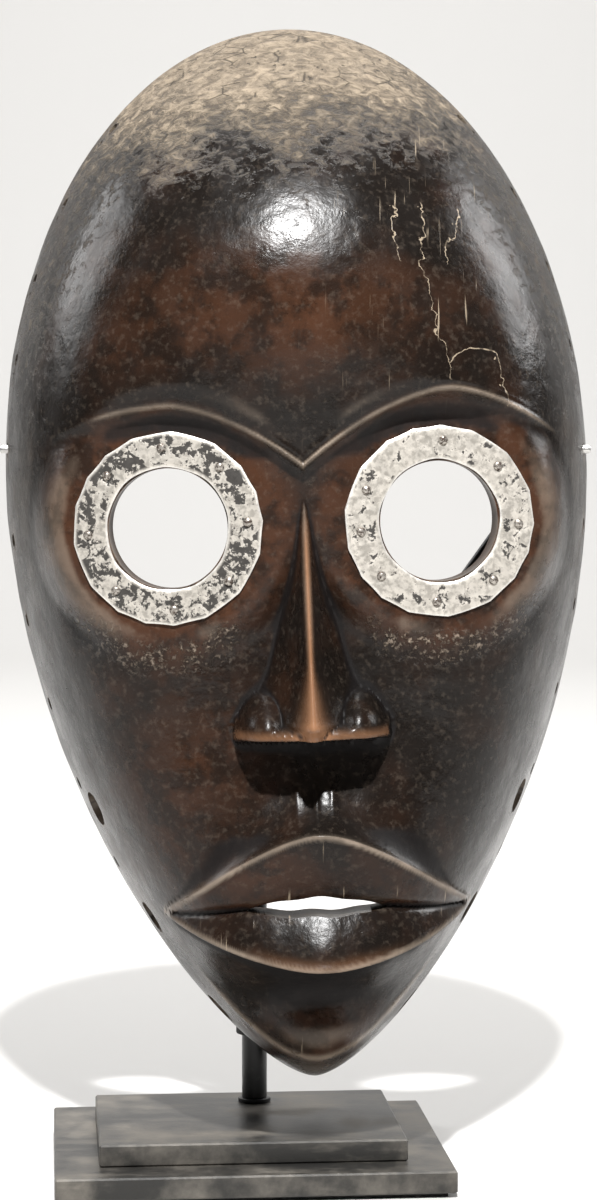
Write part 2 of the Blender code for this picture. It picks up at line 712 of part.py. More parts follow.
def main():
    clear_scene()
    turn = Euler((0.0, MASK_ROLL, MASK_YAW))
    mask = empty("mask_frame", MASK_AT, turn)
    add_mask(mask)
    base_top, nut_ceiling = add_base()
    foot = add_post(base_top, nut_ceiling)
    add_arms(foot)
    add_pin("left", -1, LEFT_ARM_EYE_X, LEFT_PIN_TIP)
    add_pin("right", 1, RIGHT_ARM_EYE_X, RIGHT_PIN_TIP)


main()
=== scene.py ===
import json
import math

import bmesh
import bpy
import numpy as np
from mathutils import Matrix, Vector, noise


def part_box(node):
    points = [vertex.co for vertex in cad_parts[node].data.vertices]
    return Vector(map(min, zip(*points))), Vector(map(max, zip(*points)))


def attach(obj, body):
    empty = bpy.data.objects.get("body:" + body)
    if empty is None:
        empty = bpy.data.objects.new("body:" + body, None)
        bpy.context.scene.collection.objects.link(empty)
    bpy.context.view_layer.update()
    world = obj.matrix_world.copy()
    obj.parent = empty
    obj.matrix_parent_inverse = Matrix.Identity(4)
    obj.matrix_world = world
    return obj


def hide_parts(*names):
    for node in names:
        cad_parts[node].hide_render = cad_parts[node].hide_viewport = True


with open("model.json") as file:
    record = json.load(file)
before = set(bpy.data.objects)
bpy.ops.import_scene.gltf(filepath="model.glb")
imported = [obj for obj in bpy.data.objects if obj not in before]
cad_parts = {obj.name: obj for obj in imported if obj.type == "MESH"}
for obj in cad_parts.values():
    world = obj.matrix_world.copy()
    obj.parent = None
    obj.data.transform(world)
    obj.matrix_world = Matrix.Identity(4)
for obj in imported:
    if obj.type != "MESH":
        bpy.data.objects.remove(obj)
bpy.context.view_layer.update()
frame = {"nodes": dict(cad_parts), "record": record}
mm = 0.001


# Small helpers for meshes.


def ease(low, high, value):
    share = np.clip((value - low) / (high - low), 0.0, 1.0)
    return share * share * (3.0 - 2.0 * share)


def mound(x, z, centreX, centreZ, spreadX, spreadZ):
    return np.exp(-(((x - centreX) / spreadX) ** 2) - ((z - centreZ) / spreadZ) ** 2)


def pattern(points, scale, seed=0.0, octaves=3):
    # Smooth noise from -1 to 1 at each point, with lumps about 1/scale across.
    shift = Vector((seed * 17.3, seed * 5.1, seed * 9.7))
    settings = (1.0, 2.0, octaves)
    return np.array([noise.fractal(Vector(p) * scale + shift, *settings) for p in points])


def readPoints(mesh):
    flat = np.empty(len(mesh.vertices) * 3, np.float32)
    mesh.vertices.foreach_get("co", flat)
    return flat.reshape(-1, 3).astype(float)


def writePoints(mesh, points):
    mesh.vertices.foreach_set("co", np.asarray(points, np.float32).ravel())
    mesh.update()


def paint(mesh, name, values):
    layer = mesh.attributes.new(name, "FLOAT", "POINT")
    layer.data.foreach_set("value", np.asarray(values, np.float32))


def meshFrom(shape, name):
    bmesh.ops.recalc_face_normals(shape, faces=shape.faces[:])
    mesh = bpy.data.meshes.new(name)
    shape.to_mesh(mesh)
    shape.free()
    return mesh


def placed(name, mesh, body, look, slotName, *nodes, sharp=35):
    mesh.shade_smooth()
    mesh.set_sharp_from_angle(angle=math.radians(sharp))
    mesh.materials.clear()
    mesh.materials.append(look)
    piece = bpy.data.objects.new(name, mesh)
    bpy.context.scene.collection.objects.link(piece)
    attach(piece, body)
    if nodes:
        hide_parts(*nodes)
    return piece


def combined(mesh, other, operation):
    # The mesh after a Boolean with another mesh, which is used up.
    first = bpy.data.objects.new("first", mesh)
    second = bpy.data.objects.new("second", other)
    for holder in (first, second):
        bpy.context.scene.collection.objects.link(holder)
    step = first.modifiers.new("step", "BOOLEAN")
    step.operation = operation
    step.solver = "MANIFOLD"
    step.object = second
    bpy.context.view_layer.update()
    ready = first.evaluated_get(bpy.context.evaluated_depsgraph_get())
    made = bpy.data.meshes.new_from_object(ready)
    for holder in (first, second):
        bpy.data.objects.remove(holder)
    return made


def rod(shape, start, end, radius, sides):
    start, end = Vector(start), Vector(end)
    turn = (end - start).to_track_quat("Z", "Y").to_matrix().to_4x4()
    bmesh.ops.create_cone(
        shape,
        cap_ends=True,
        segments=sides,
        radius1=radius,
        radius2=radius,
        depth=(end - start).length,
        matrix=Matrix.Translation((start + end) / 2) @ turn,
    )


def turnedShape(profile, sides):
    # A closed profile of (radius, height), spun about Z. Points on the axis are merged.
    shape = bmesh.new()
    corners = [shape.verts.new((radius, 0.0, height)) for radius, height in profile]
    edges = [shape.edges.new(pair) for pair in zip(corners, corners[1:])]
    if min(profile[0][0], profile[-1][0]) > 0:
        edges.append(shape.edges.new((corners[-1], corners[0])))
    bmesh.ops.spin(
        shape,
        geom=corners + edges,
        cent=(0, 0, 0),
        axis=(0, 0, 1),
        angle=math.tau,
        steps=sides,
        use_merge=True,
    )
    bmesh.ops.remove_doubles(shape, verts=shape.verts[:], dist=1e-7)
    return shape


def turnedMesh(name, profile, sides):
    # The profile is (radius, height) in mm.
    return meshFrom(turnedShape([(radius * mm, height * mm) for radius, height in profile], sides), name)


# Small helpers for materials.


class Recipe:
    # One material, built up node by node on Object coordinates.

    def __init__(self, name):
        self.material = bpy.data.materials.new(name)
        self.material.use_nodes = True
        self.tree = self.material.node_tree
        self.shader = self.tree.nodes["Principled BSDF"]
        self.place = self.tree.nodes.new("ShaderNodeTexCoord").outputs["Object"]

    def feed(self, socket, value):
        if isinstance(value, bpy.types.NodeSocket):
            self.tree.links.new(value, socket)
        else:
            socket.default_value = value

    def stretched(self, stretch, shift=0.0):
        mapping = self.tree.nodes.new("ShaderNodeMapping")
        mapping.inputs["Scale"].default_value = stretch
        mapping.inputs["Location"].default_value = (shift, shift * 0.7, shift * 1.3)
        self.tree.links.new(self.place, mapping.inputs["Vector"])
        return mapping.outputs["Vector"]

    def cloud(self, scale, detail=4.0, roughness=0.55, stretch=(1, 1, 1), shift=0.0, warp=0.0):
        node = self.tree.nodes.new("ShaderNodeTexNoise")
        node.inputs["Scale"].default_value = scale
        node.inputs["Detail"].default_value = detail
        node.inputs["Roughness"].default_value = roughness
        node.inputs["Distortion"].default_value = warp
        self.tree.links.new(self.stretched(stretch, shift), node.inputs["Vector"])
        return node.outputs["Fac"]

    def cells(self, scale, feature="F1", stretch=(1, 1, 1), shift=0.0):
        node = self.tree.nodes.new("ShaderNodeTexVoronoi")
        node.feature = feature
        node.inputs["Scale"].default_value = scale
        self.tree.links.new(self.stretched(stretch, shift), node.inputs["Vector"])
        return node.outputs["Distance"]

    def painted(self, name):
        node = self.tree.nodes.new("ShaderNodeAttribute")
        node.attribute_name = name
        return node.outputs["Fac"]

    def between(self, value, low, high, start=0.0, end=1.0):
        node = self.tree.nodes.new("ShaderNodeMapRange")
        node.interpolation_type = "SMOOTHSTEP"
        self.feed(node.inputs["Value"], value)
        names = ("From Min", "From Max", "To Min", "To Max")
        for name, number in zip(names, (low, high, start, end)):
            node.inputs[name].default_value = number
        return node.outputs["Result"]

    def sums(self, operation, first, second):
        node = self.tree.nodes.new("ShaderNodeMath")
        node.operation = operation
        node.use_clamp = operation in ("ADD", "SUBTRACT")
        self.feed(node.inputs[0], first)
        self.feed(node.inputs[1], second)
        return node.outputs["Value"]

    def times(self, first, second):
        return self.sums("MULTIPLY", first, second)

    def plus(self, first, second):
        return self.sums("ADD", first, second)

    def minus(self, first, second):
        return self.sums("SUBTRACT", first, second)

    def blend(self, share, first, second):
        node = self.tree.nodes.new("ShaderNodeMix")
        node.data_type = "RGBA"
        self.feed(node.inputs["Factor"], share)
        colours = [socket for socket in node.inputs if socket.type == "RGBA"]
        for socket, colour in zip(colours, (first, second)):
            if isinstance(colour, tuple):
                colour = (*colour, 1.0)
            self.feed(socket, colour)
        return [socket for socket in node.outputs if socket.type == "RGBA"][0]

    def bump(self, height, strength, distance, under=None):
        node = self.tree.nodes.new("ShaderNodeBump")
        node.inputs["Strength"].default_value = strength
        node.inputs["Distance"].default_value = distance
        self.tree.links.new(height, node.inputs["Height"])
        if under is not None:
            self.tree.links.new(under, node.inputs["Normal"])
        return node.outputs["Normal"]

    def finish(self, colour, roughness, metallic=0.0, normal=None, **constants):
        self.feed(self.shader.inputs["Base Color"], colour)
        self.feed(self.shader.inputs["Roughness"], roughness)
        self.feed(self.shader.inputs["Metallic"], metallic)
        if normal is not None:
            self.feed(self.shader.inputs["Normal"], normal)
        for name, number in constants.items():
            self.shader.inputs[name.replace("_", " ")].default_value = number
        return self.material


# The mask in its own frame: X across, -Y out of the face, Z up from the widest level, in mm.

mask = {
    "halfWidth": 69.6,
    "crown": 106.2,
    "jaw": 143.6,
    "depth": 54.0,
    "wall": 8.0,
    "rimWall": 5.5,
    "eyeX": 30.2,
    "eyeZ": -11.0,
    "seatDepth": 48.5,
    "ringLift": 0.446,
    "eyeTilt": math.radians(8.0),
    "eyeHole": 13.4,
    "mouthX": 1.5,
    "mouthHalf": 33.5,
    "gapX": 0.3,
    "gapHalf": 15.6,
    "gapHeight": 4.1,
    "gapDrop": 0.35,
    "noseX": 0.6,
    "noseHalf": 17.4,
    "noseFoot": -57.8,
    "smallHole": 1.5,
    "smallHoleDepth": 6.5,
    "smallHoleLevels": (84, 66, 48, 29, -14, -33, -53, -72, -91),
    "cordHole": 4.2,
    "cordHoles": ((-78, 14.5), (-104, 13.5), (-126, 13.0)),
    "pinHole": 1.5,
}


def middle(node):
    low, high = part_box(node)
    return (low + high) / 2


def maskFrame():
    # The line between the two eye rings gives the mask's turn and its place.
    left, right = middle("eye_ring_left"), middle("eye_ring_right")
    across = (right - left).normalized()
    back = Vector((0, 0, 1)).cross(across).normalized()
    up = across.cross(back)
    fromRings = back * (mask["seatDepth"] + mask["ringLift"]) - up * mask["eyeZ"]
    turned = Matrix((across, back, up)).transposed().to_4x4()
    return Matrix.Translation((left + right) / 2 + fromRings * mm) @ turned


maskSpace = maskFrame()


def halfWidth(z):
    crown = np.sqrt(np.clip(1.0 - (z / mask["crown"]) ** 2, 0.0, 1.0))
    share = np.clip(-z / mask["jaw"], 0.0, 1.0)
    return np.where(z >= 0, crown, (1.0 - share**1.8) ** 0.7) * mask["halfWidth"]


def discToFace(across, up):
    z = np.where(up >= 0, up * mask["crown"], up * mask["jaw"])
    chord = np.sqrt(np.clip(1.0 - up**2, 1e-9, 1.0))
    return across / chord * halfWidth(z), z


def onDisc(x, z):
    up = np.clip(z / np.where(z >= 0, mask["crown"], mask["jaw"]), -1.0, 1.0)
    across = x / np.maximum(halfWidth(z), 1e-6) * np.sqrt(np.clip(1.0 - up**2, 0.0, 1.0))
    return np.clip(np.hypot(across, up), 0.0, 1.0), up


def dome(reach, up, depth):
    lift = np.clip(up / np.maximum(reach, 1e-6), -1.0, 1.0)
    high, low = np.clip(lift, 0.0, 1.0), np.clip(-lift, 0.0, 1.0) ** 4
    squareness = 5.8 - 2.6 * high + 3.7 * low
    roundness = 1.08 + 0.22 * high + 0.22 * low
    return depth * np.clip(1.0 - reach**squareness, 0.0, 1.0) ** (1.0 / roundness)


def modelling(x, z):
    forehead = 7.0 * mound(x, z, 0, 46, 42, 34)
    facePlane = -6.5 * mound(x, z, 0, -50, 60, 34)
    underLip = -9.0 * mound(x, z, 0, -117, 26, 9)
    chin = 2.0 * mound(x, z, 0, -130, 10, 7)
    return forehead + facePlane + underLip + chin


def browLine(x):
    left = np.where(x < -30, 0.026, 0.0512) * np.abs(-x - 30.0) ** 1.65
    right = 0.051 * np.abs(x - 33.0) ** 1.65
    return np.where(x < 0, 16.2 - left, 18.5 - right)


def browRidge(x, z):
    # A thin raised line, with the eye sockets stepped down below it.
    slope = (browLine(x + 0.5) - browLine(x - 0.5)) * 0.9
    away = (z - browLine(x)) / np.sqrt(1.0 + slope**2)
    fade = ease(-48.0, -28.0, z) * ease(60.0, 50.0, np.abs(x))
    step = -1.7 * ease(0.3, -3.4, away) * fade
    fade = ease(-48.0, -38.0, x) * ease(60.0, 46.0, x)
    ridge = 0.85 * np.exp(-((away / 0.6) ** 2)) * fade
    second = 0.22 * np.exp(-(((away - 1.5) / 0.5) ** 2)) * fade
    return step + ridge + second


def eyeSeat(x, z, depth):
    off = np.abs(x) - mask["eyeX"]
    plane = mask["seatDepth"] - off * math.tan(mask["eyeTilt"])
    away = np.hypot(off, z - mask["eyeZ"])
    share = ease(32.0, 23.0, away)
    return depth * (1.0 - share) + plane * share


def noseDepth(x, z):
    # A thin ridge that widens at the tip, hollow flanks, and two wings.
    along = np.clip((-z - 1.0) / 55.5, 0.0, 1.0)
    ridge = 51.0 + 17.3 * along**1.15 - 3.6 * ease(-54.8, -57.6, z)
    thin = 0.9 + 1.3 * ease(0.75, 1.0, along)
    off = np.abs(x - 0.4 * along)
    off = np.sqrt(off**2 + thin**2) - thin
    sides = ridge - (6.0 + 2.5 * along) * (1.0 - np.exp(-off / 2.7)) - (1.1 - 0.5 * along**6) * off
    fromMiddle = np.abs(x - mask["noseX"])
    wing = 1.0 - ((fromMiddle - 10.0) / 7.6) ** 2 - ((z + 57.5) / 10.5) ** 2
    wings = np.where(wing > 0, 44.0 + 15.5 * np.clip(wing, 0.0, 1.0) ** 0.6, 0.0)
    across = fromMiddle / 17.8
    sill = 15.4 * np.sqrt(np.clip(1.0 - across**2.4, 0.0, 1.0)) * ease(-50.0, -57.0, z)
    return np.maximum(np.maximum(sides, wings), np.where(across < 1.0, 46.0 + sill, 0.0))


def nose(x, z, depth):
    # The nose is cut off square below.
    edge = mask["noseFoot"]
    inside = ease(20.0, 17.0, np.abs(x - mask["noseX"]))
    inside = inside * ease(6.0, -3.0, z) * ease(edge - 1.3, edge, z)
    carved = noseDepth(x, np.clip(z, edge, 3.0))
    return depth + np.clip(carved - depth, 0.0, None) * inside


def philtrum(x, z):
    inside = ease(-67.0, -71.0, z) * ease(-80.0, -77.0, z)
    ridges = 0.6 * np.exp(-(((np.abs(x - mask["noseX"]) - 4.0) / 0.9) ** 2))
    keel = 0.5 * np.exp(-(((x - 1.0) / 0.6) ** 2))
    hollows = -0.25 * np.exp(-(((np.abs(x - 0.8) - 7.5) / 2.6) ** 2)) * ease(-69, -73, z)
    return (ridges + keel + hollows) * inside


def mouthLine(x):
    return -95.0 - 3.7 * (x / mask["mouthHalf"]) ** 2


def lipEdges(x):
    reach = np.clip(np.hypot((x - mask["mouthX"]) / mask["mouthHalf"], 0.06) - 0.06, 0.0, 1.0)
    slit = mouthLine(x)
    return slit + 0.3 + 16.0 * (1 - reach**1.4), slit - 0.3 - 13.6 * (1 - reach**1.6), reach


def lips(x, z, depth):
    top, foot, reach = lipEdges(x)
    slit = mouthLine(x)
    discReach, up = onDisc(x, slit)
    base = dome(discReach, up, mask["depth"] - 4.0) + modelling(x, slit)
    edge = base + 3.6 + 9.0 * (1 - reach**1.8)
    inward = 6.5 * (1 - reach) ** 0.8
    upper = np.clip((z - slit) / np.maximum(top - slit, 0.3), 0.0, 1.0)
    lower = np.clip((slit - z) / np.maximum(slit - foot, 0.3), 0.0, 1.0)
    upperLip = edge - 1.35 * inward * (1.0 - upper) ** 1.15
    lowEdge = edge - 0.6 - 1.5 * (1.0 - np.exp(-5.0 * reach)) * (1.0 - reach**4)
    lowerLip = lowEdge - inward * (1.0 - lower) ** 1.7
    corner = 0.35 + 0.9 * reach**4
    rim = 0.55 * np.exp(-(((z - top + 0.6) / (0.5 + corner)) ** 2))
    rim = rim + 0.45 * np.exp(-(((z - foot - 0.6) / (0.4 + corner)) ** 2))
    above = depth + (edge - depth) * np.exp(-np.clip(z - top, 0, None) / (2.2 + 3.4 * (1 - reach)))
    below = lowEdge - 9.0 * np.clip(foot - z, 0.0, None)
    surface = np.where(z > slit, upperLip, lowerLip)
    surface = np.where(z > top, above, np.where(z < foot, below, surface)) + rim
    groove = 1.6 * np.exp(-(((z - slit) / np.where(z > slit, 1.1, 0.55)) ** 2)) * (1 - reach) ** 0.4
    surface = surface - np.where((z < top) & (z > foot), groove, 0.0)
    beside = ease(1.0, 1.12, np.abs((x - mask["mouthX"]) / mask["mouthHalf"]))
    return np.maximum(depth, surface * (1 - beside) + (depth - 5.0) * beside)


def chinEdge(z, reach, depth):
    # The chin's front meets its sides at a crisp edge.
    share = ease(-104.0, -122.0, z)
    return depth + share * 0.7 * np.exp(-(((reach - 0.925) / 0.010) ** 2))


def outerDepth(x, z):
    reach, up = onDisc(x, z)
    nearRim = ease(1.0, 0.86, reach)
    depth = dome(reach, up, mask["depth"]) + (modelling(x, z) + browRidge(x, z)) * nearRim
    depth = eyeSeat(x, z, depth)
    depth = depth + philtrum(x, z)
    depth = chinEdge(z, reach, depth)
    depth = nose(x, z, depth)
    depth = lips(x, z, depth)
    return np.where(reach > 1.0 - 1e-5, 0.0, depth)


def innerDepth(x, z, reach, up):
    depth = dome(reach, up, mask["depth"] - mask["wall"])
    depth = depth + modelling(x, z) * ease(1.0, 0.86, reach)
    return np.where(reach > 1.0 - 1e-5, 0.0, depth)


def gathered(x, z):
    # Draws the rows of points nearest a carved edge onto it, so that it comes out crisp.
    top, foot, reach = lipEdges(x)
    insideLips = reach < 0.985
    insideNose = np.abs(x - mask["noseX"]) < mask["noseHalf"]
    noseFoot = mask["noseFoot"] - 0.1 + 0 * x
    lines = (top, 1.6, insideLips), (foot, 1.8, insideLips), (noseFoot, 2.0, insideNose)
    for line, span, where in lines:
        away = z - line
        near = np.abs(away) < span
        pulled = away * (0.12 + 0.88 * (away / span) ** 2)
        z = np.where(near & where, line + pulled, z)
    return z


def halfBall(fineness):
    shape = bmesh.new()
    bmesh.ops.create_icosphere(shape, subdivisions=fineness, radius=1.0)
    bmesh.ops.bisect_plane(
        shape,
        geom=shape.verts[:] + shape.edges[:] + shape.faces[:],
        plane_co=(0, 0, 0),
        plane_no=(0, 1, 0),
        clear_outer=True,
    )
    return shape


def refined(shape, wanted):
    # Splits the edges of the unit ball whose places on the face are wanted. The hollow's sheet,
    # which is already at its small final size, is left.
    shape.verts.index_update()
    ball = np.array([vert.co for vert in shape.verts])
    x, z = discToFace(ball[:, 0], ball[:, 2])
    flags = wanted(x, z) & (np.linalg.norm(ball, axis=1) > 0.5)
    onRim = np.abs(ball[:, 1]) < 1e-5
    edges = []
    for edge in shape.edges:
        first, second = edge.verts[0].index, edge.verts[1].index
        if flags[first] and flags[second] and not (onRim[first] and onRim[second]):
            edges.append(edge)
    bmesh.ops.subdivide_edges(shape, edges=edges, cuts=1, use_grid_fill=True)
    bmesh.ops.triangulate(shape, faces=[face for face in shape.faces if len(face.verts) > 4])
    for vert in shape.verts:
        if vert.co.length > 0.5:
            vert.co.normalize()


def everywhere(x, z):
    return np.full(len(x), True)


def faceMiddle(x, z):
    return (np.abs(x) < 60) & (z > -134) & (z < 32)


def carvedEdges(x, z):
    top, foot, reach = lipEdges(x)
    onNose = (np.abs(x - mask["noseX"]) < 20) & (z < 4) & (z > -79)
    onLips = (np.abs(x - mask["mouthX"]) < 37) & (z < top + 2.5) & (z > foot - 2.5)
    onBrow = (np.abs(z - browLine(x)) < 3.0) & (np.abs(x) < 58)
    return onNose | onLips | onBrow


def inUnits(x, depth, z):
    return np.stack([x, -depth, z], axis=1) * mm


def carvedShell():
    shape = halfBall(6)
    rim = [edge for edge in shape.edges if edge.is_boundary]
    copied = bmesh.ops.duplicate(shape, geom=shape.verts[:] + shape.edges[:] + shape.faces[:])
    inner = [item for item in copied["geom"] if isinstance(item, bmesh.types.BMVert)]
    twin = copied["vert_map"]
    for edge in rim:
        first, second = edge.verts
        shape.faces.new((first, second, twin[second], twin[first]))
    ball = np.array([vert.co for vert in inner])
    x, z = discToFace(ball[:, 0], ball[:, 2])
    reach, up = np.clip(np.hypot(ball[:, 0], ball[:, 2]), 0, 1), ball[:, 2]
    x = x * (1 - mask["rimWall"] / mask["halfWidth"])
    z = z * (1 - mask["rimWall"] / np.where(z >= 0, mask["crown"], mask["jaw"]))
    hollow = innerDepth(x, z, reach, up)
    for vert, place in zip(inner, inUnits(x, hollow, z)):
        vert.co = place
    refined(shape, everywhere)
    refined(shape, faceMiddle)
    refined(shape, carvedEdges)
    bmesh.ops.triangulate(shape, faces=shape.faces[:])
    return meshFrom(shape, "carvedShell")


def carve(mesh):
    # Moves the unit ball's points out to the carved face, and roughens wood that was left rough.
    points = readPoints(mesh)
    onFace = np.linalg.norm(points, axis=1) > 0.5
    ball = points[onFace]
    x, z = discToFace(ball[:, 0], ball[:, 2])
    onRim = np.abs(ball[:, 1]) < 1e-5
    z = np.where(onRim, z, gathered(x, z))
    depth = np.where(onRim, 0.0, outerDepth(x, z))
    spots = np.stack([x, depth, z], axis=1)
    inside = ease(0.0, 6.0, depth)
    tooled = 0.22 * pattern(spots, 1 / 13.0, 1.0) + 0.05 * pattern(spots, 1 / 3.5, 2.0)
    crown = ease(58.0, 88.0, z + 6.0 * pattern(spots, 1 / 16.0, 3.0))
    rough = 0.35 * pattern(spots, 1 / 5.0, 4.0, 4) + 0.18 * pattern(spots, 1 / 1.8, 5.0)
    depth = depth + (tooled + crown * rough) * inside
    wobble = 0.25 * pattern(spots, 1 / 17.0, 6.0) * (1 - inside)
    x = x * (1 + wobble / mask["halfWidth"])
    points[onFace] = inUnits(x, depth, z)
    hollow = points[~onFace]
    gouged = 0.5 * np.abs(pattern(hollow / mm, 1 / 9.0, 7.0)) * ease(0.5, 8.0, -hollow[:, 1] / mm)
    hollow[:, 1] -= gouged * mm
    points[~onFace] = hollow
    writePoints(mesh, points)


def rimHole(shape, side, level, depth, radius, sides):
    width = float(halfWidth(np.array(float(level))))
    slope = float(halfWidth(np.array(level + 1.0)) - halfWidth(np.array(level - 1.0))) / 2
    outward = Vector((side, 0.0, -slope)).normalized()
    place = Vector((side * width, -depth, level))
    rod(shape, (place - outward * 16) * mm, (place + outward * 8) * mm, radius * mm, sides)


def mouthSlit(shape):
    steps = 24
    shares = [index / steps for index in range(-steps, steps + 1)]
    corners = []
    for sign in (1, -1):
        for share in shares[::-sign][1:]:
            x = mask["gapX"] + share * mask["gapHalf"]
            ragged = 0.25 * math.sin(9 * share + sign) * (1 - share**2)
            half = mask["gapHeight"] / 2 * (1.0 - share**2) ** 0.8 + ragged
            z = float(mouthLine(x)) - mask["gapDrop"] + sign * half
            corners.append(Vector((x, -90.0, z)) * mm)
    face = shape.faces.new([shape.verts.new(corner) for corner in corners])
    grown = bmesh.ops.extrude_face_region(shape, geom=[face])
    back = [item for item in grown["geom"] if isinstance(item, bmesh.types.BMVert)]
    bmesh.ops.translate(shape, verts=back, vec=(0, 80 * mm, 0))


def drills():
    shape = bmesh.new()
    mouthSlit(shape)
    for side in (-1, 1):
        for level in mask["smallHoleLevels"]:
            rimHole(shape, side, level, mask["smallHoleDepth"], mask["smallHole"], 20)
            if level > 20:
                rimHole(shape, side, level - 3.4, mask["smallHoleDepth"] - 0.8, 0.6, 12)
        for level, depth in mask["cordHoles"]:
            rimHole(shape, side, level, depth, mask["cordHole"], 40)
        out = Vector((side * math.sin(mask["eyeTilt"]), -math.cos(mask["eyeTilt"]), 0))
        eye = Vector((side * mask["eyeX"], -mask["seatDepth"], mask["eyeZ"]))
        rod(shape, (eye - out * 30) * mm, (eye + out * 12) * mm, mask["eyeHole"] * mm, 90)
    intoMask = maskSpace.inverted()
    for side in (-1, 1):
        pin = middle("pin_left" if side < 0 else "pin_right")
        start, end = pin + Vector((side * 0.03, 0, 0)), pin - Vector((side * 0.002, 0, 0))
        rod(shape, intoMask @ start, intoMask @ end, mask["pinHole"] * mm, 24)
    return meshFrom(shape, "drills")


def surroundings(mesh):
    # How far each point stands proud of the wood around it, in mm, at two scales.
    points = readPoints(mesh) / mm
    ends = np.empty(len(mesh.edges) * 2, np.int32)
    mesh.edges.foreach_get("vertices", ends)
    first, second = ends[::2], ends[1::2]
    weight = 1.0 / np.maximum(np.linalg.norm(points[first] - points[second], axis=1), 0.05)
    total = np.bincount(first, weight, len(points)) + np.bincount(second, weight, len(points))
    normals = np.empty(len(points) * 3, np.float32)
    mesh.vertices.foreach_get("normal", normals)
    normals = normals.reshape(-1, 3)
    smooth = points.copy()
    found = []
    for rounds in (12, 60):
        for _ in range(rounds):
            fresh = np.empty_like(smooth)
            for axis in range(3):
                column = smooth[:, axis]
                fresh[:, axis] = np.bincount(first, weight * column[second], len(points))
                fresh[:, axis] += np.bincount(second, weight * column[first], len(points))
            smooth = fresh / total[:, None]
        found.append(((points - smooth) * normals).sum(1))
    return found


def paintMask(mesh):
    # Where the wood is warm brown, dusty, worn by handling, scratched or grimy; also painted light: a
    # painted sheen on the flanks, painted highlights on the nose ridge and carved edges, and painted
    # shade in the recesses of the lower face.
    points = readPoints(mesh) / mm
    x, depth, z = points[:, 0], -points[:, 1], points[:, 2]
    normals = np.empty(len(points) * 3, np.float32)
    mesh.vertices.foreach_get("normal", normals)
    forward = -normals.reshape(-1, 3)[:, 1]
    outside = ease(-0.15, 0.15, forward)
    fine, broad = surroundings(mesh)
    lump = pattern(points, 1 / 14.0, 11.0, 4)
    top, foot, reach = lipEdges(x)
    inLips = (reach < 1) & (z < top) & (z > foot)
    eyes = np.hypot(np.abs(x) - mask["eyeX"], z - mask["eyeZ"])
    halo = ease(33.0, 24.0, eyes + 2.5 * lump) * ease(3.0, 0.0, z - browLine(x))
    warm = 0.9 * mound(x, z, -4, 37, 34, 13) + 0.55 * mound(x, z, -28, -70, 20, 30)
    warm += 0.8 * halo + 0.5 * mound(x, z, 0, -128, 26, 12)
    warm += 0.35 * np.where(inLips & (z > mouthLine(x)), 1.0, 0.0)
    warm += 0.15 * mound(x, z, -2, -14, 9, 26)
    paint(mesh, "warm", np.clip(warm + 0.25 * lump, 0, 1) * outside)
    dustAndSheen = ease(54.0, 110.0, z + 10.0 * lump - 0.12 * x - 0.006 * x**2)
    # Painted sheen: a thin dusty veil on the upper flanks, where the wood shows a grey sheen.
    dustAndSheen += 0.22 * ease(42.0, 20.0, depth) * ease(0.0, 40.0, z)
    paint(mesh, "dustAndSheen", np.clip(dustAndSheen, 0, 1) * outside)
    # Handling polish on the nose ridge, tip, wings and lip foot; on the ridge and tip it is bright
    # enough to be a painted highlight too.
    spread = 0.6 + 1.8 * ease(-40.0, -56.0, z)
    above = ease(mask["noseFoot"] - 0.8, mask["noseFoot"], z)
    ridge = 0.85 * np.exp(-(((x - 0.3) / spread) ** 2)) * ease(-6.0, -18.0, z) * above
    tip = 0.9 * mound(x, z, 0.6, -56.5, 3.2, 2.2) * above
    lipFoot = 0.3 * np.exp(-(((z - foot - 1.2) / 1.4) ** 2)) * ease(0.6, 0.1, reach)
    wings = np.exp(-(((z - mask["noseFoot"] - 0.6) / 1.0) ** 2)) * (np.abs(x) < 17.5) * above
    paint(mesh, "worn", np.clip(ridge + tip + 0.8 * lipFoot + 0.5 * wings, 0, 1) * outside)
    # Lighter lines on the lip rims, brow ridge and chin bevel: edge wear, and painted highlights where
    # these edges catch the light.
    rimLine = np.exp(-(((z - top + 0.5) / (0.5 + 0.8 * reach**4)) ** 2)) * (reach < 1.0)
    rimLine += 0.6 * np.exp(-(((z - foot - 0.5) / 0.5) ** 2)) * (reach < 1.0)
    browTop = np.exp(-(((z - browLine(x)) / 0.5) ** 2)) * ease(-48, -40, x) * ease(60, 48, x)
    chinLine = 0.8 * np.exp(-(((onDisc(x, z)[0] - 0.925) / 0.007) ** 2)) * ease(-108, -122, z)
    offNose = 1.0 - (np.abs(x - mask["noseX"]) < 19) * ease(-30.0, -44.0, z) * above
    proud = ease(0.1, 0.35, fine) * ease(20.0, 10.0, z) * offNose
    paint(mesh, "edge", np.clip(0.4 * proud + 0.7 * rimLine + browTop + chinLine, 0, 1) * outside)
    # Painted shade: creases and recesses of the lower face are darkened, as grimy hollows and as the
    # shade that falls in them.
    hollow = (ease(-0.06, -0.3, fine) + ease(-0.4, -1.6, broad)) * ease(20.0, 10.0, z)
    paint(mesh, "grimeAndShade", np.clip(hollow, 0, 1))
    crust = ease(34.0, 28.5, eyes + 2.0 * lump) * ease(24.5, 27.5, eyes + 2.0 * lump)
    paint(mesh, "crust", crust * ease(-26.0, -34.0, z) * ease(12.0, 18.0, np.abs(x)) * outside)
    scratched = mound(x, z, 30, 50, 22, 34) + 1.2 * np.where(inLips, 1.0, 0.0)
    scratched += 0.5 * mound(x, z, 0, -128, 16, 8)
    paint(mesh, "scratched", np.clip(scratched, 0, 1) * outside)
    paint(mesh, "raw", (1 - outside) * ease(3.0, 7.0, mask["rimWall"] + depth))


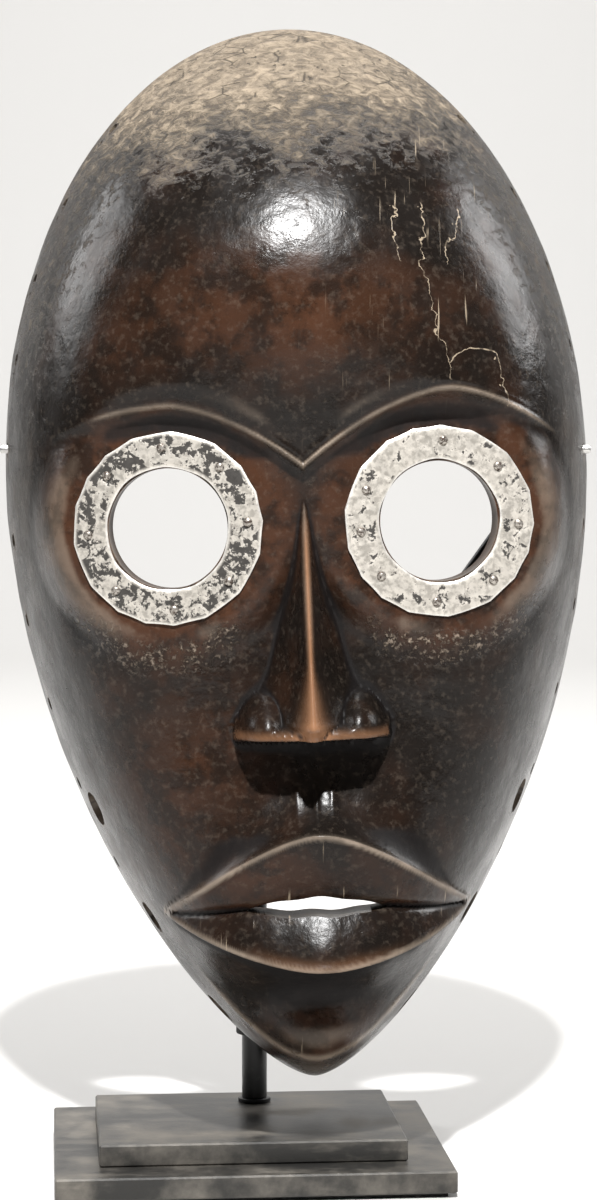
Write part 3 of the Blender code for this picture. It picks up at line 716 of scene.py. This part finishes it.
patina = {
    "black": (0.0075, 0.0056, 0.0045),
    "brown": (0.052, 0.021, 0.010),
    "copper": (0.27, 0.135, 0.07),
    # Worn-edge brown, also for painted highlight lines on carved edges.
    "edge": (0.25, 0.20, 0.155),
    # Pale dusty colour, also for the painted sheen on the flanks and for scratches.
    "dustAndSheen": (0.33, 0.265, 0.19),
    "dustAndSheenDark": (0.12, 0.095, 0.07),
    "raw": (0.052, 0.031, 0.019),
    "rawDark": (0.03, 0.018, 0.011),
    "seam": (0.012, 0.009, 0.007),
    # Near black for grimy hollows and painted shade.
    "grimeAndShade": (0.004, 0.003, 0.003),
}


# Hairline cracks on the right of the forehead: top (x, z) and foot (x, z), in mm.
cracks = (
    ((38.5, 223.0), (40.8, 203.0)),
    ((40.8, 203.0), (46.4, 183.5)),
    ((48.8, 222.0), (45.0, 209.0)),
    ((33.4, 222.0), (34.6, 209.5)),
    ((46.0, 187.0), (50.4, 190.4)),
    ((50.4, 190.4), (55.8, 189.6)),
    ((55.8, 189.6), (58.6, 177.5)),
)


def cracked(recipe):
    # Thin wandering lines on the front of the forehead.
    tree = recipe.tree
    wander = tree.nodes.new("ShaderNodeTexNoise")
    wander.inputs["Scale"].default_value = 260.0
    wander.inputs["Detail"].default_value = 4.0
    tree.links.new(recipe.place, wander.inputs["Vector"])
    parts = tree.nodes.new("ShaderNodeSeparateXYZ")
    tree.links.new(recipe.place, parts.inputs["Vector"])
    wobble = recipe.between(wander.outputs["Fac"], 0.3, 0.7, -0.0013, 0.0013)
    moved = tree.nodes.new("ShaderNodeMath")
    tree.links.new(parts.outputs["X"], moved.inputs[0])
    tree.links.new(wobble, moved.inputs[1])
    lines = 0.0
    for (topX, topZ), (footX, footZ) in cracks:
        along = Vector((footX - topX, 0.0, footZ - topZ)) * mm
        flat = tree.nodes.new("ShaderNodeCombineXYZ")
        tree.links.new(moved.outputs["Value"], flat.inputs["X"])
        tree.links.new(parts.outputs["Z"], flat.inputs["Z"])
        fromTop = tree.nodes.new("ShaderNodeVectorMath")
        fromTop.operation = "SUBTRACT"
        tree.links.new(flat.outputs["Vector"], fromTop.inputs[0])
        fromTop.inputs[1].default_value = (topX * mm, 0.0, topZ * mm)
        reached = dotted(tree, fromTop.outputs["Vector"], along / along.length_squared)
        sideways = Vector((-along.z, 0, along.x)).normalized()
        across = dotted(tree, fromTop.outputs["Vector"], sideways)
        away = tree.nodes.new("ShaderNodeMath")
        away.operation = "ABSOLUTE"
        tree.links.new(across, away.inputs[0])
        line = recipe.between(away.outputs["Value"], 0.00006, 0.00020, 1.0, 0.0)
        started, ended = recipe.between(reached, -0.02, 0.02), recipe.between(reached, 0.98, 1.02, 1, 0)
        ends = recipe.times(started, ended)
        lines = recipe.plus(recipe.times(line, ends), lines)
    front = recipe.between(parts.outputs["Y"], -0.022, -0.014, 1.0, 0.0)
    worn = recipe.between(recipe.cloud(500, 3, 0.5, (1, 1, 1), 4.0), 0.36, 0.5, 0.25, 0.9)
    return recipe.times(recipe.times(lines, front), worn)


def dotted(tree, vector, direction):
    node = tree.nodes.new("ShaderNodeVectorMath")
    node.operation = "DOT_PRODUCT"
    tree.links.new(vector, node.inputs[0])
    node.inputs[1].default_value = direction
    return node.outputs["Value"]


def woodLook():
    recipe = Recipe("darkWood")
    mottle = recipe.between(recipe.cloud(130, 6, 0.6), 0.34, 0.66)
    speck = recipe.between(recipe.cloud(700, 4, 0.6), 0.5, 0.72)
    warm = recipe.times(recipe.painted("warm"), recipe.between(mottle, 0.0, 0.8, 0.25, 1.0))
    colour = recipe.blend(warm, patina["black"], patina["brown"])
    colour = recipe.blend(recipe.times(speck, 0.09), colour, patina["edge"])
    # Edge wear, and painted highlight lines on the lip rims, brow ridge and chin bevel.
    edge = recipe.times(recipe.painted("edge"), recipe.between(mottle, 0, 1, 0.6, 1.0))
    colour = recipe.blend(edge, colour, patina["edge"])
    # Handling polish, and a painted highlight on the nose ridge and tip.
    worn = recipe.painted("worn")
    colour = recipe.blend(recipe.times(worn, 0.9), colour, patina["copper"])
    flake = recipe.between(recipe.cloud(320, 9, 0.72, (1, 1, 1.6), 3.0, 0.6), 0.34, 0.66)
    # Dusty crown, and a painted sheen on the upper flanks.
    dustAndSheen = recipe.painted("dustAndSheen")
    dustAndSheenColour = recipe.blend(flake, patina["dustAndSheenDark"], patina["dustAndSheen"])
    broken = recipe.minus(recipe.plus(dustAndSheen, recipe.times(flake, 0.35)), 0.3)
    dustAndSheenShare = recipe.between(broken, 0.0, 0.75)
    colour = recipe.blend(recipe.times(dustAndSheenShare, 0.85), colour, dustAndSheenColour)
    lines = recipe.cloud(1500, 2, 0.5, (1, 0.03, 0.035), 7.0)
    lines = recipe.between(lines, 0.66, 0.72)
    gate = recipe.between(recipe.cloud(170, 3, 0.5, (1, 0.35, 0.35), 2.0), 0.5, 0.62)
    scratch = recipe.times(recipe.times(lines, gate), recipe.painted("scratched"))
    seams = recipe.between(recipe.cells(150, "DISTANCE_TO_EDGE", (1, 1, 1.7), 2.0), 0.0, 0.05, 1.0, 0.0)
    seams = recipe.times(seams, recipe.between(recipe.cloud(140, 3, 0.5), 0.5, 0.6))
    pitted = recipe.between(recipe.cloud(420, 4, 0.6, (1, 1, 1), 12.0), 0.62, 0.68)
    seams = recipe.times(recipe.plus(seams, pitted), dustAndSheenShare)
    colour = recipe.blend(recipe.times(seams, 0.75), colour, patina["seam"])
    scratch = recipe.plus(scratch, cracked(recipe))
    colour = recipe.blend(scratch, colour, patina["dustAndSheen"])
    crumbs = recipe.between(recipe.cloud(900, 6, 0.7, (1, 1, 1), 6.0), 0.5, 0.62)
    crumbs = recipe.times(crumbs, recipe.painted("crust"))
    colour = recipe.blend(recipe.times(crumbs, 0.9), colour, patina["edge"])
    # Grimy hollows and painted shade in the lower face's creases and recesses.
    grimeAndShade = recipe.painted("grimeAndShade")
    colour = recipe.blend(recipe.times(grimeAndShade, 0.85), colour, patina["grimeAndShade"])
    raw = recipe.painted("raw")
    grain = recipe.between(recipe.cloud(400, 4, 0.6, (1, 1, 0.1), 5.0), 0.3, 0.7)
    rawColour = recipe.blend(grain, patina["rawDark"], patina["raw"])
    colour = recipe.blend(raw, colour, rawColour)
    roughness = recipe.between(recipe.cloud(90, 5, 0.6, (1, 1, 1), 9.0), 0.3, 0.7, 0.19, 0.33)
    roughness = recipe.plus(roughness, recipe.times(dustAndSheenShare, 0.45))
    roughness = recipe.plus(roughness, recipe.times(recipe.plus(raw, grimeAndShade), 0.3))
    roughness = recipe.plus(roughness, recipe.times(warm, 0.1))
    fine = recipe.bump(recipe.cloud(1300, 3, 0.6), 0.10, 0.0003)
    medium = recipe.bump(recipe.cloud(260, 5, 0.6), 0.32, 0.0006, fine)
    medium = recipe.bump(crumbs, 0.8, 0.0007, medium)
    pits = recipe.times(recipe.between(recipe.cells(420, "F1"), 0.0, 0.35), dustAndSheenShare)
    medium = recipe.bump(pits, 0.35, 0.0006, medium)
    flaked = recipe.bump(recipe.times(flake, dustAndSheenShare), 0.5, 0.0007, medium)
    flaked = recipe.bump(recipe.minus(1.0, seams), 0.5, 0.0006, flaked)
    cut = recipe.bump(recipe.minus(1.0, scratch), 0.25, 0.0002, flaked)
    return recipe.finish(colour, roughness, 0.0, cut, Specular_IOR_Level=0.22)


def carvedMask(look):
    mesh = carvedShell()
    carve(mesh)
    mesh = combined(mesh, drills(), "DIFFERENCE")
    paintMask(mesh)
    mesh.transform(maskSpace)
    return placed("carvedShell", mesh, "mask", look, "dark_wood", "mask_shell", sharp=50)


# The metal rings and their nails.

rings = {
    "outer": 21.5,
    "inner": 13.7,
    "thick": 0.8,
    "cuts": 17,
    "nailCircle": 18.0,
    "lift": 0.05,
    "nailHead": 1.05,
    "nailHeight": 0.62,
    "nailAngles": {
        -1: (93, 138, 183, 228, 273, 318, 3, 48),
        1: (86, 41, -4, -49, -94, -139, -174, 156),
    },
    "bright": (0.60, 0.56, 0.50),
    "dull": (0.25, 0.23, 0.20),
    "tarnish": (0.009, 0.007, 0.006),
    "rubbed": (0.8, 0.78, 0.74),
}


def eyeSpace(side):
    out = Vector((side * math.sin(mask["eyeTilt"]), -math.cos(mask["eyeTilt"]), 0.0))
    place = Vector((side * mask["eyeX"], -mask["seatDepth"], mask["eyeZ"])) * mm
    return maskSpace @ Matrix.Translation(place) @ out.to_track_quat("Z", "Y").to_matrix().to_4x4()


def snipped(angle, side):
    # Radius of the outer edge, cut with straight snips of uneven length.
    turn = (angle / math.tau * rings["cuts"] + 0.22 * np.sin(3 * angle + side)) % 1.0
    corner = math.pi / rings["cuts"]
    chord = np.cos(corner) / np.cos((turn - 0.5) * 2 * corner)
    return rings["outer"] * chord * (1.0 + 0.006 * np.sin(2 * angle + side))


def ringPiece(side, look):
    steps = 14
    low, high = rings["lift"], rings["lift"] + rings["thick"]
    band = rings["outer"] - rings["inner"]
    radii = [rings["inner"] + band * step / steps for step in range(steps + 1)]
    profile = [(radius * mm, high * mm) for radius in radii]
    profile += [(radius * mm, low * mm) for radius in reversed(radii)]
    mesh = meshFrom(turnedShape(profile, 220), "ring")
    points = readPoints(mesh) / mm
    radius = np.hypot(points[:, 0], points[:, 1])
    angle = np.arctan2(points[:, 1], points[:, 0])
    share = (radius - rings["inner"]) / band
    inner = rings["inner"] + 0.12 * np.sin(4 * angle + side) + 0.08 * np.sin(9 * angle)
    fresh = inner + (snipped(angle, side) - inner) * share
    points[:, 0], points[:, 1] = fresh * np.cos(angle), fresh * np.sin(angle)
    hammered = 0.10 * pattern(points, 1 / 3.2, 20.0 + side)
    hammered = hammered + 0.05 * pattern(points, 1 / 1.3, 22.0 + side)
    dents = np.zeros(len(points))
    for degrees in rings["nailAngles"][side]:
        spot = math.radians(degrees)
        away = np.hypot(
            points[:, 0] - rings["nailCircle"] * math.cos(spot),
            points[:, 1] - rings["nailCircle"] * math.sin(spot),
        )
        dents -= 0.22 * np.exp(-((away / 1.9) ** 2))
    bent = -0.30 * ease(0.9, 1.0, share) - 0.25 * ease(0.08, 0.0, share)
    isFront = ease(0.3, 0.7, (points[:, 2] - low) / rings["thick"])
    points[:, 2] += (hammered * ease(1.0, 0.8, share) + dents + bent) * isFront
    writePoints(mesh, points * mm)
    paint(mesh, "band", ease(0.0, 0.16, share) * ease(1.0, 0.86, share))
    paint(mesh, "edge", np.maximum(ease(0.92, 0.985, share), ease(0.05, 0.0, share)))
    mesh.transform(eyeSpace(side))
    word = "left" if side < 0 else "right"
    return placed("eyeRing." + word, mesh, "mask", look, "tarnished_sheet", "eye_ring_" + word)


def ringLook(name, tarnish, shift):
    recipe = Recipe(name)
    band = recipe.painted("band")
    blotch = recipe.cloud(330, 6, 0.62, (1, 1, 1), shift, 0.4)
    grain = recipe.cloud(1400, 4, 0.6, (1, 1, 1), shift + 1)
    mixed = recipe.plus(recipe.times(blotch, 0.75), recipe.times(grain, 0.25))
    black = recipe.between(mixed, 0.56 - tarnish, 0.60 - tarnish)
    black = recipe.times(black, recipe.between(band, 0.1, 0.9))
    grey = recipe.between(recipe.cloud(800, 5, 0.6, (1, 1, 1), shift + 2), 0.42, 0.62)
    pale = recipe.blend(recipe.times(grey, 0.6), rings["bright"], rings["dull"])
    colour = recipe.blend(recipe.times(black, 0.95), pale, rings["tarnish"])
    colour = recipe.blend(recipe.times(recipe.painted("edge"), 0.7), colour, rings["rubbed"])
    metal = recipe.between(black, 0.0, 1.0, 0.55, 0.1)
    roughness = recipe.between(mixed, 0.4, 0.62, 0.36, 0.62)
    fine = recipe.bump(grain, 0.25, 0.0002)
    normal = recipe.bump(recipe.minus(1.0, black), 0.3, 0.0002, fine)
    return recipe.finish(colour, roughness, metal, normal)


def nailPiece(side, index, look):
    degrees = rings["nailAngles"][side][index]
    head, high = rings["nailHead"], rings["nailHeight"]
    base = rings["lift"] + rings["thick"] - 0.12
    profile = [(0.0, -4.2), (0.5, -3.2), (0.5, base), (head, base)]
    for step in range(1, 9):
        angle = step / 8 * math.pi / 2
        profile.append((head * math.cos(angle), base + high * math.sin(angle)))
    mesh = turnedMesh("nail", profile, 24)
    tilt = Matrix.Rotation(0.12 * math.sin(5.0 * index + side), 4, "X")
    spot = math.radians(degrees)
    at = Vector((math.cos(spot), math.sin(spot), 0)) * rings["nailCircle"] * mm
    mesh.transform(eyeSpace(side) @ Matrix.Translation(at) @ tilt)
    word = "left" if side < 0 else "right"
    node = f"ring_nail_{word}_{index + 1}"
    return placed(f"nail.{word}.{index + 1}", mesh, "mask", look, "nail_iron", node)


def nailLook():
    recipe = Recipe("nailIron")
    rust = recipe.between(recipe.cloud(1800, 4, 0.6), 0.42, 0.62)
    colour = recipe.blend(rust, (0.42, 0.39, 0.35), (0.07, 0.05, 0.04))
    return recipe.finish(colour, recipe.between(rust, 0, 1, 0.35, 0.65), 0.75)


# The stand.

stand = {
    "paint": (0.027, 0.026, 0.024),
    "smudge": (0.26, 0.235, 0.20),
    "post": 3.0,
    "stem": 2.0,
    "collar": 3.9,
    "collarBore": 2.08,
    "sleeve": 4.4,
    "sleeveBore": 3.3,
    "arm": 1.2,
    "armEye": 3.4,
    "armEyeThick": 3.0,
    "armEyeBore": 1.13,
    "armStart": (3.2, 1.5),
    "pin": 1.05,
    "pinHead": 2.0,
}


def lathe(name, body, look, slotName, node, profile, sides=64):
    # A turned piece on the post's axis. The profile is (radius, world height) in mm.
    mesh = turnedMesh(name, profile, sides)
    axis = middle("post")
    mesh.transform(Matrix.Translation((axis.x, axis.y, 0.0)))
    return placed(name, mesh, body, look, slotName, node)


def tubeProfile(outer, inner, low, high, soft):
    return [
        (inner, low),
        (outer - soft, low),
        (outer - 0.3 * soft, low + 0.3 * soft),
        (outer, low + soft),
        (outer, high - soft),
        (outer - 0.3 * soft, high - 0.3 * soft),
        (outer - soft, high),
        (inner, high),
    ]


def postPieces(steel, rubber):
    low, high = (corner.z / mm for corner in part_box("post"))
    collarLow, collarHigh = (corner.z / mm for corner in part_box("post_collar"))
    shoulder = collarHigh + 0.05
    stem, post = stand["stem"], stand["post"]
    profile = [(0.0, low), (stem - 0.2, low), (stem, low + 0.2), (stem, shoulder)]
    profile += [(post - 0.15, shoulder), (post, shoulder + 0.15)]
    profile += [(post, high - 0.2), (post - 0.2, high), (0.0, high)]
    lathe("postRod", "armature", steel, "black_steel", "post", profile)
    profile = tubeProfile(stand["collar"], stand["collarBore"], collarLow, collarHigh, 0.25)
    lathe("postCollar", "base", steel, "black_steel", "post_collar", profile)
    low, high = (corner.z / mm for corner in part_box("chin_sleeve"))
    profile = tubeProfile(stand["sleeve"], stand["sleeveBore"], low, high, 0.35)
    lathe("chinSleeve", "armature", rubber, "black_rubber", "chin_sleeve", profile)


def armPiece(side, look):
    word = "left" if side < 0 else "right"
    low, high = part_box("arm_" + word)
    half = stand["armEyeThick"] / 2 * mm
    eyeX = low.x + half if side < 0 else high.x - half
    eye = Vector((eyeX, middle("pin_" + word).y, high.z - stand["armEye"] * mm))
    ahead, rise = stand["armStart"]
    start = middle("arm_hub") + Vector((side * ahead, 0.0, rise)) * mm
    shaft, disc, bore = bmesh.new(), bmesh.new(), bmesh.new()
    rod(shaft, start, eye - Vector((0, 0, stand["armEye"] - 1.0)) * mm, stand["arm"] * mm, 40)
    rod(disc, eye - Vector((half, 0, 0)), eye + Vector((half, 0, 0)), stand["armEye"] * mm, 64)
    reach = Vector((20 * mm, 0, 0))
    rod(bore, eye - reach, eye + reach, stand["armEyeBore"] * mm, 40)
    bmesh.ops.bevel(
        disc,
        geom=disc.edges[:],
        offset=0.3 * mm,
        affect="EDGES",
        segments=2,
        profile=0.5,
        material=-1,
    )
    mesh = combined(meshFrom(shaft, "arm"), meshFrom(disc, "armEye"), "UNION")
    mesh = combined(mesh, meshFrom(bore, "pinBore"), "DIFFERENCE")
    placed("arm." + word, mesh, "armature", look, "black_steel", "arm_" + word)


def pinPiece(side, look):
    word = "left" if side < 0 else "right"
    low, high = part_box("pin_" + word)
    length = (high.x - low.x) / mm
    head, shaft = stand["pinHead"], stand["pin"]
    profile = [(0.0, 0.0), (head - 0.5, 0.0), (head - 0.15, 0.15), (head, 0.5), (head, 1.85)]
    profile += [(head - 0.15, 2.0), (shaft, 2.0)]
    profile += [(shaft, length - 0.4), (shaft - 0.35, length), (0.0, length)]
    mesh = turnedMesh("pin", profile, 48)
    headEnd = high.x if side < 0 else low.x
    spot = Matrix.Translation((headEnd, middle("pin_" + word).y, middle("pin_" + word).z))
    mesh.transform(spot @ Matrix.Rotation(side * math.pi / 2, 4, "Y"))
    placed("pin." + word, mesh, word + "_pin", look, "bright_steel", "pin_" + word)


def paintLook():
    recipe = Recipe("scuffedPaint")
    smudge = recipe.between(recipe.cloud(45, 6, 0.62, (1, 1, 1), 1.0), 0.42, 0.68)
    streak = recipe.between(recipe.cloud(160, 5, 0.6, (0.25, 1, 1), 4.0), 0.5, 0.7)
    share = recipe.plus(recipe.times(smudge, 0.55), recipe.times(streak, 0.3))
    colour = recipe.blend(share, stand["paint"], stand["smudge"])
    roughness = recipe.between(share, 0.0, 0.8, 0.38, 0.6)
    normal = recipe.bump(recipe.cloud(900, 3, 0.6), 0.12, 0.0003)
    return recipe.finish(colour, roughness, 0.25, normal)


def blackLook():
    recipe = Recipe("blackSteel")
    wear = recipe.between(recipe.cloud(300, 5, 0.6), 0.5, 0.7)
    colour = recipe.blend(recipe.times(wear, 0.4), (0.012, 0.012, 0.012), (0.06, 0.058, 0.055))
    normal = recipe.bump(recipe.cloud(1100, 3, 0.6), 0.1, 0.0002)
    return recipe.finish(colour, recipe.between(wear, 0, 1, 0.36, 0.52), 0.3, normal)


def brightLook():
    recipe = Recipe("brightSteel")
    marks = recipe.cloud(900, 3, 0.5, (0.15, 1, 1))
    colour = recipe.blend(recipe.between(marks, 0.4, 0.7), (0.62, 0.61, 0.59), (0.42, 0.41, 0.4))
    return recipe.finish(colour, recipe.between(marks, 0.3, 0.7, 0.22, 0.4), 1.0)


def rubberLook():
    recipe = Recipe("blackRubber")
    bloom = recipe.between(recipe.cloud(500, 5, 0.6), 0.4, 0.65)
    colour = recipe.blend(bloom, (0.010, 0.010, 0.010), (0.030, 0.029, 0.028))
    normal = recipe.bump(recipe.cloud(2600, 3, 0.6), 0.25, 0.0002)
    return recipe.finish(colour, 0.75, 0.0, normal)


# Light, camera and floor.

view = {
    "from": Vector((12.2, -684.0, 167.7)) * mm,
    "shift": -0.125,
    "lens": 58.2,
    "film": 24.0,
}


def addCamera():
    camera = bpy.data.objects.new("camera", bpy.data.cameras.new("camera"))
    bpy.context.scene.collection.objects.link(camera)
    camera.location = view["from"]
    camera.rotation_euler = (math.pi / 2, 0.0, 0.0)
    camera.data.shift_y = view["shift"]
    camera.data.sensor_fit = "VERTICAL"
    camera.data.sensor_height = view["film"]
    camera.data.lens = view["lens"]
    camera.data.clip_start = 0.02
    bpy.context.scene.camera = camera
    bpy.context.scene.view_settings.view_transform = "Standard"


studio = {
    "onMask": (0.012, -0.02, 0.16),
    "onWall": (0.0, 2.3, 0.4),
    "air": (0.93, 0.93, 0.95),
    "airStrength": 0.06,
    "floor": (0.60, 0.59, 0.575),
    "front": -2.5,
    "bendStart": 1.6,
    "bend": 0.7,
    "height": 3.0,
    "halfWidth": 3.0,
}

# Each lamp's name, place and aim, its size in metres and its power in watts.
lamps = (
    ("key", (0.04, -0.70, 0.99), studio["onMask"], 0.035, 26.0),
    ("left", (-0.95, 0.42, 0.70), studio["onMask"], 0.5, 5.0),
    ("right", (0.95, 0.42, 0.70), studio["onMask"], 0.5, 6.5),
    ("back", (0.0, 0.35, 1.3), studio["onMask"], 0.8, 4.0),
    ("wall", (0.0, 0.9, 1.9), studio["onWall"], 1.2, 45.0),
)


def addLamps():
    for name, place, aim, size, power in lamps:
        data = bpy.data.lights.new(name, "AREA")
        data.size = size
        data.energy = power
        lamp = bpy.data.objects.new(name, data)
        bpy.context.scene.collection.objects.link(lamp)
        lamp.location = place
        lamp.rotation_euler = (Vector(aim) - Vector(place)).to_track_quat("-Z", "Y").to_euler()
    world = bpy.data.worlds.new("studio")
    bpy.context.scene.world = world
    world.use_nodes = True
    background = world.node_tree.nodes["Background"]
    background.inputs["Color"].default_value = (*studio["air"], 1.0)
    background.inputs["Strength"].default_value = studio["airStrength"]


def addFloor():
    # One sheet, flat below and curved up into a wall behind.
    shape = bmesh.new()
    left, bendStart, bend = -studio["halfWidth"], studio["bendStart"], studio["bend"]
    corners = [shape.verts.new((left, y, 0.0)) for y in (studio["front"], bendStart)]
    for step in range(1, 17):
        angle = step / 16 * math.pi / 2
        place = (left, bendStart + bend * math.sin(angle), bend * (1 - math.cos(angle)))
        corners.append(shape.verts.new(place))
    corners.append(shape.verts.new((left, bendStart + bend, studio["height"])))
    edges = [shape.edges.new(pair) for pair in zip(corners, corners[1:])]
    grown = bmesh.ops.extrude_edge_only(shape, edges=edges)
    moved = [item for item in grown["geom"] if isinstance(item, bmesh.types.BMVert)]
    bmesh.ops.translate(shape, verts=moved, vec=(-2 * left, 0, 0))
    mesh = bpy.data.meshes.new("floor")
    shape.to_mesh(mesh)
    shape.free()
    mesh.shade_smooth()
    recipe = Recipe("paleFloor")
    mesh.materials.append(recipe.finish((*studio["floor"], 1.0), 0.8))
    floor = bpy.data.objects.new("floor", mesh)
    bpy.context.scene.collection.objects.link(floor)


addCamera()
addLamps()
addFloor()
print("stage ready")
wood = woodLook()
carvedMask(wood)
print("mask carved")
ringLooks = {
    -1: ringLook("tarnishedSheetLeft", 0.075, 2.0),
    1: ringLook("tarnishedSheetRight", 0.01, 8.0),
}
iron = nailLook()
for side in (-1, 1):
    ringPiece(side, ringLooks[side])
    for index in range(len(rings["nailAngles"][side])):
        nailPiece(side, index, iron)
print("rings nailed on")

steel, bright, rubber = blackLook(), brightLook(), rubberLook()
postPieces(steel, rubber)
for side in (-1, 1):
    armPiece(side, steel)
    pinPiece(side, bright)
slotLooks = {
    "dark_wood": wood,
    "tarnished_sheet": ringLooks[1],
    "nail_iron": iron,
    "black_steel": steel,
    "bright_steel": bright,
    "black_rubber": rubber,
}
nodeSlots = {item["node"]: item["material_slot"] for item in frame["record"]["subparts"]}
for name, node in frame["nodes"].items():
    node.data.materials.clear()
    node.data.materials.append(slotLooks[nodeSlots[name]])
scuffed = paintLook()
for name in ("base_lower_tier", "base_upper_tier"):
    frame["nodes"][name].data.materials[0] = scuffed
print("stand finished")
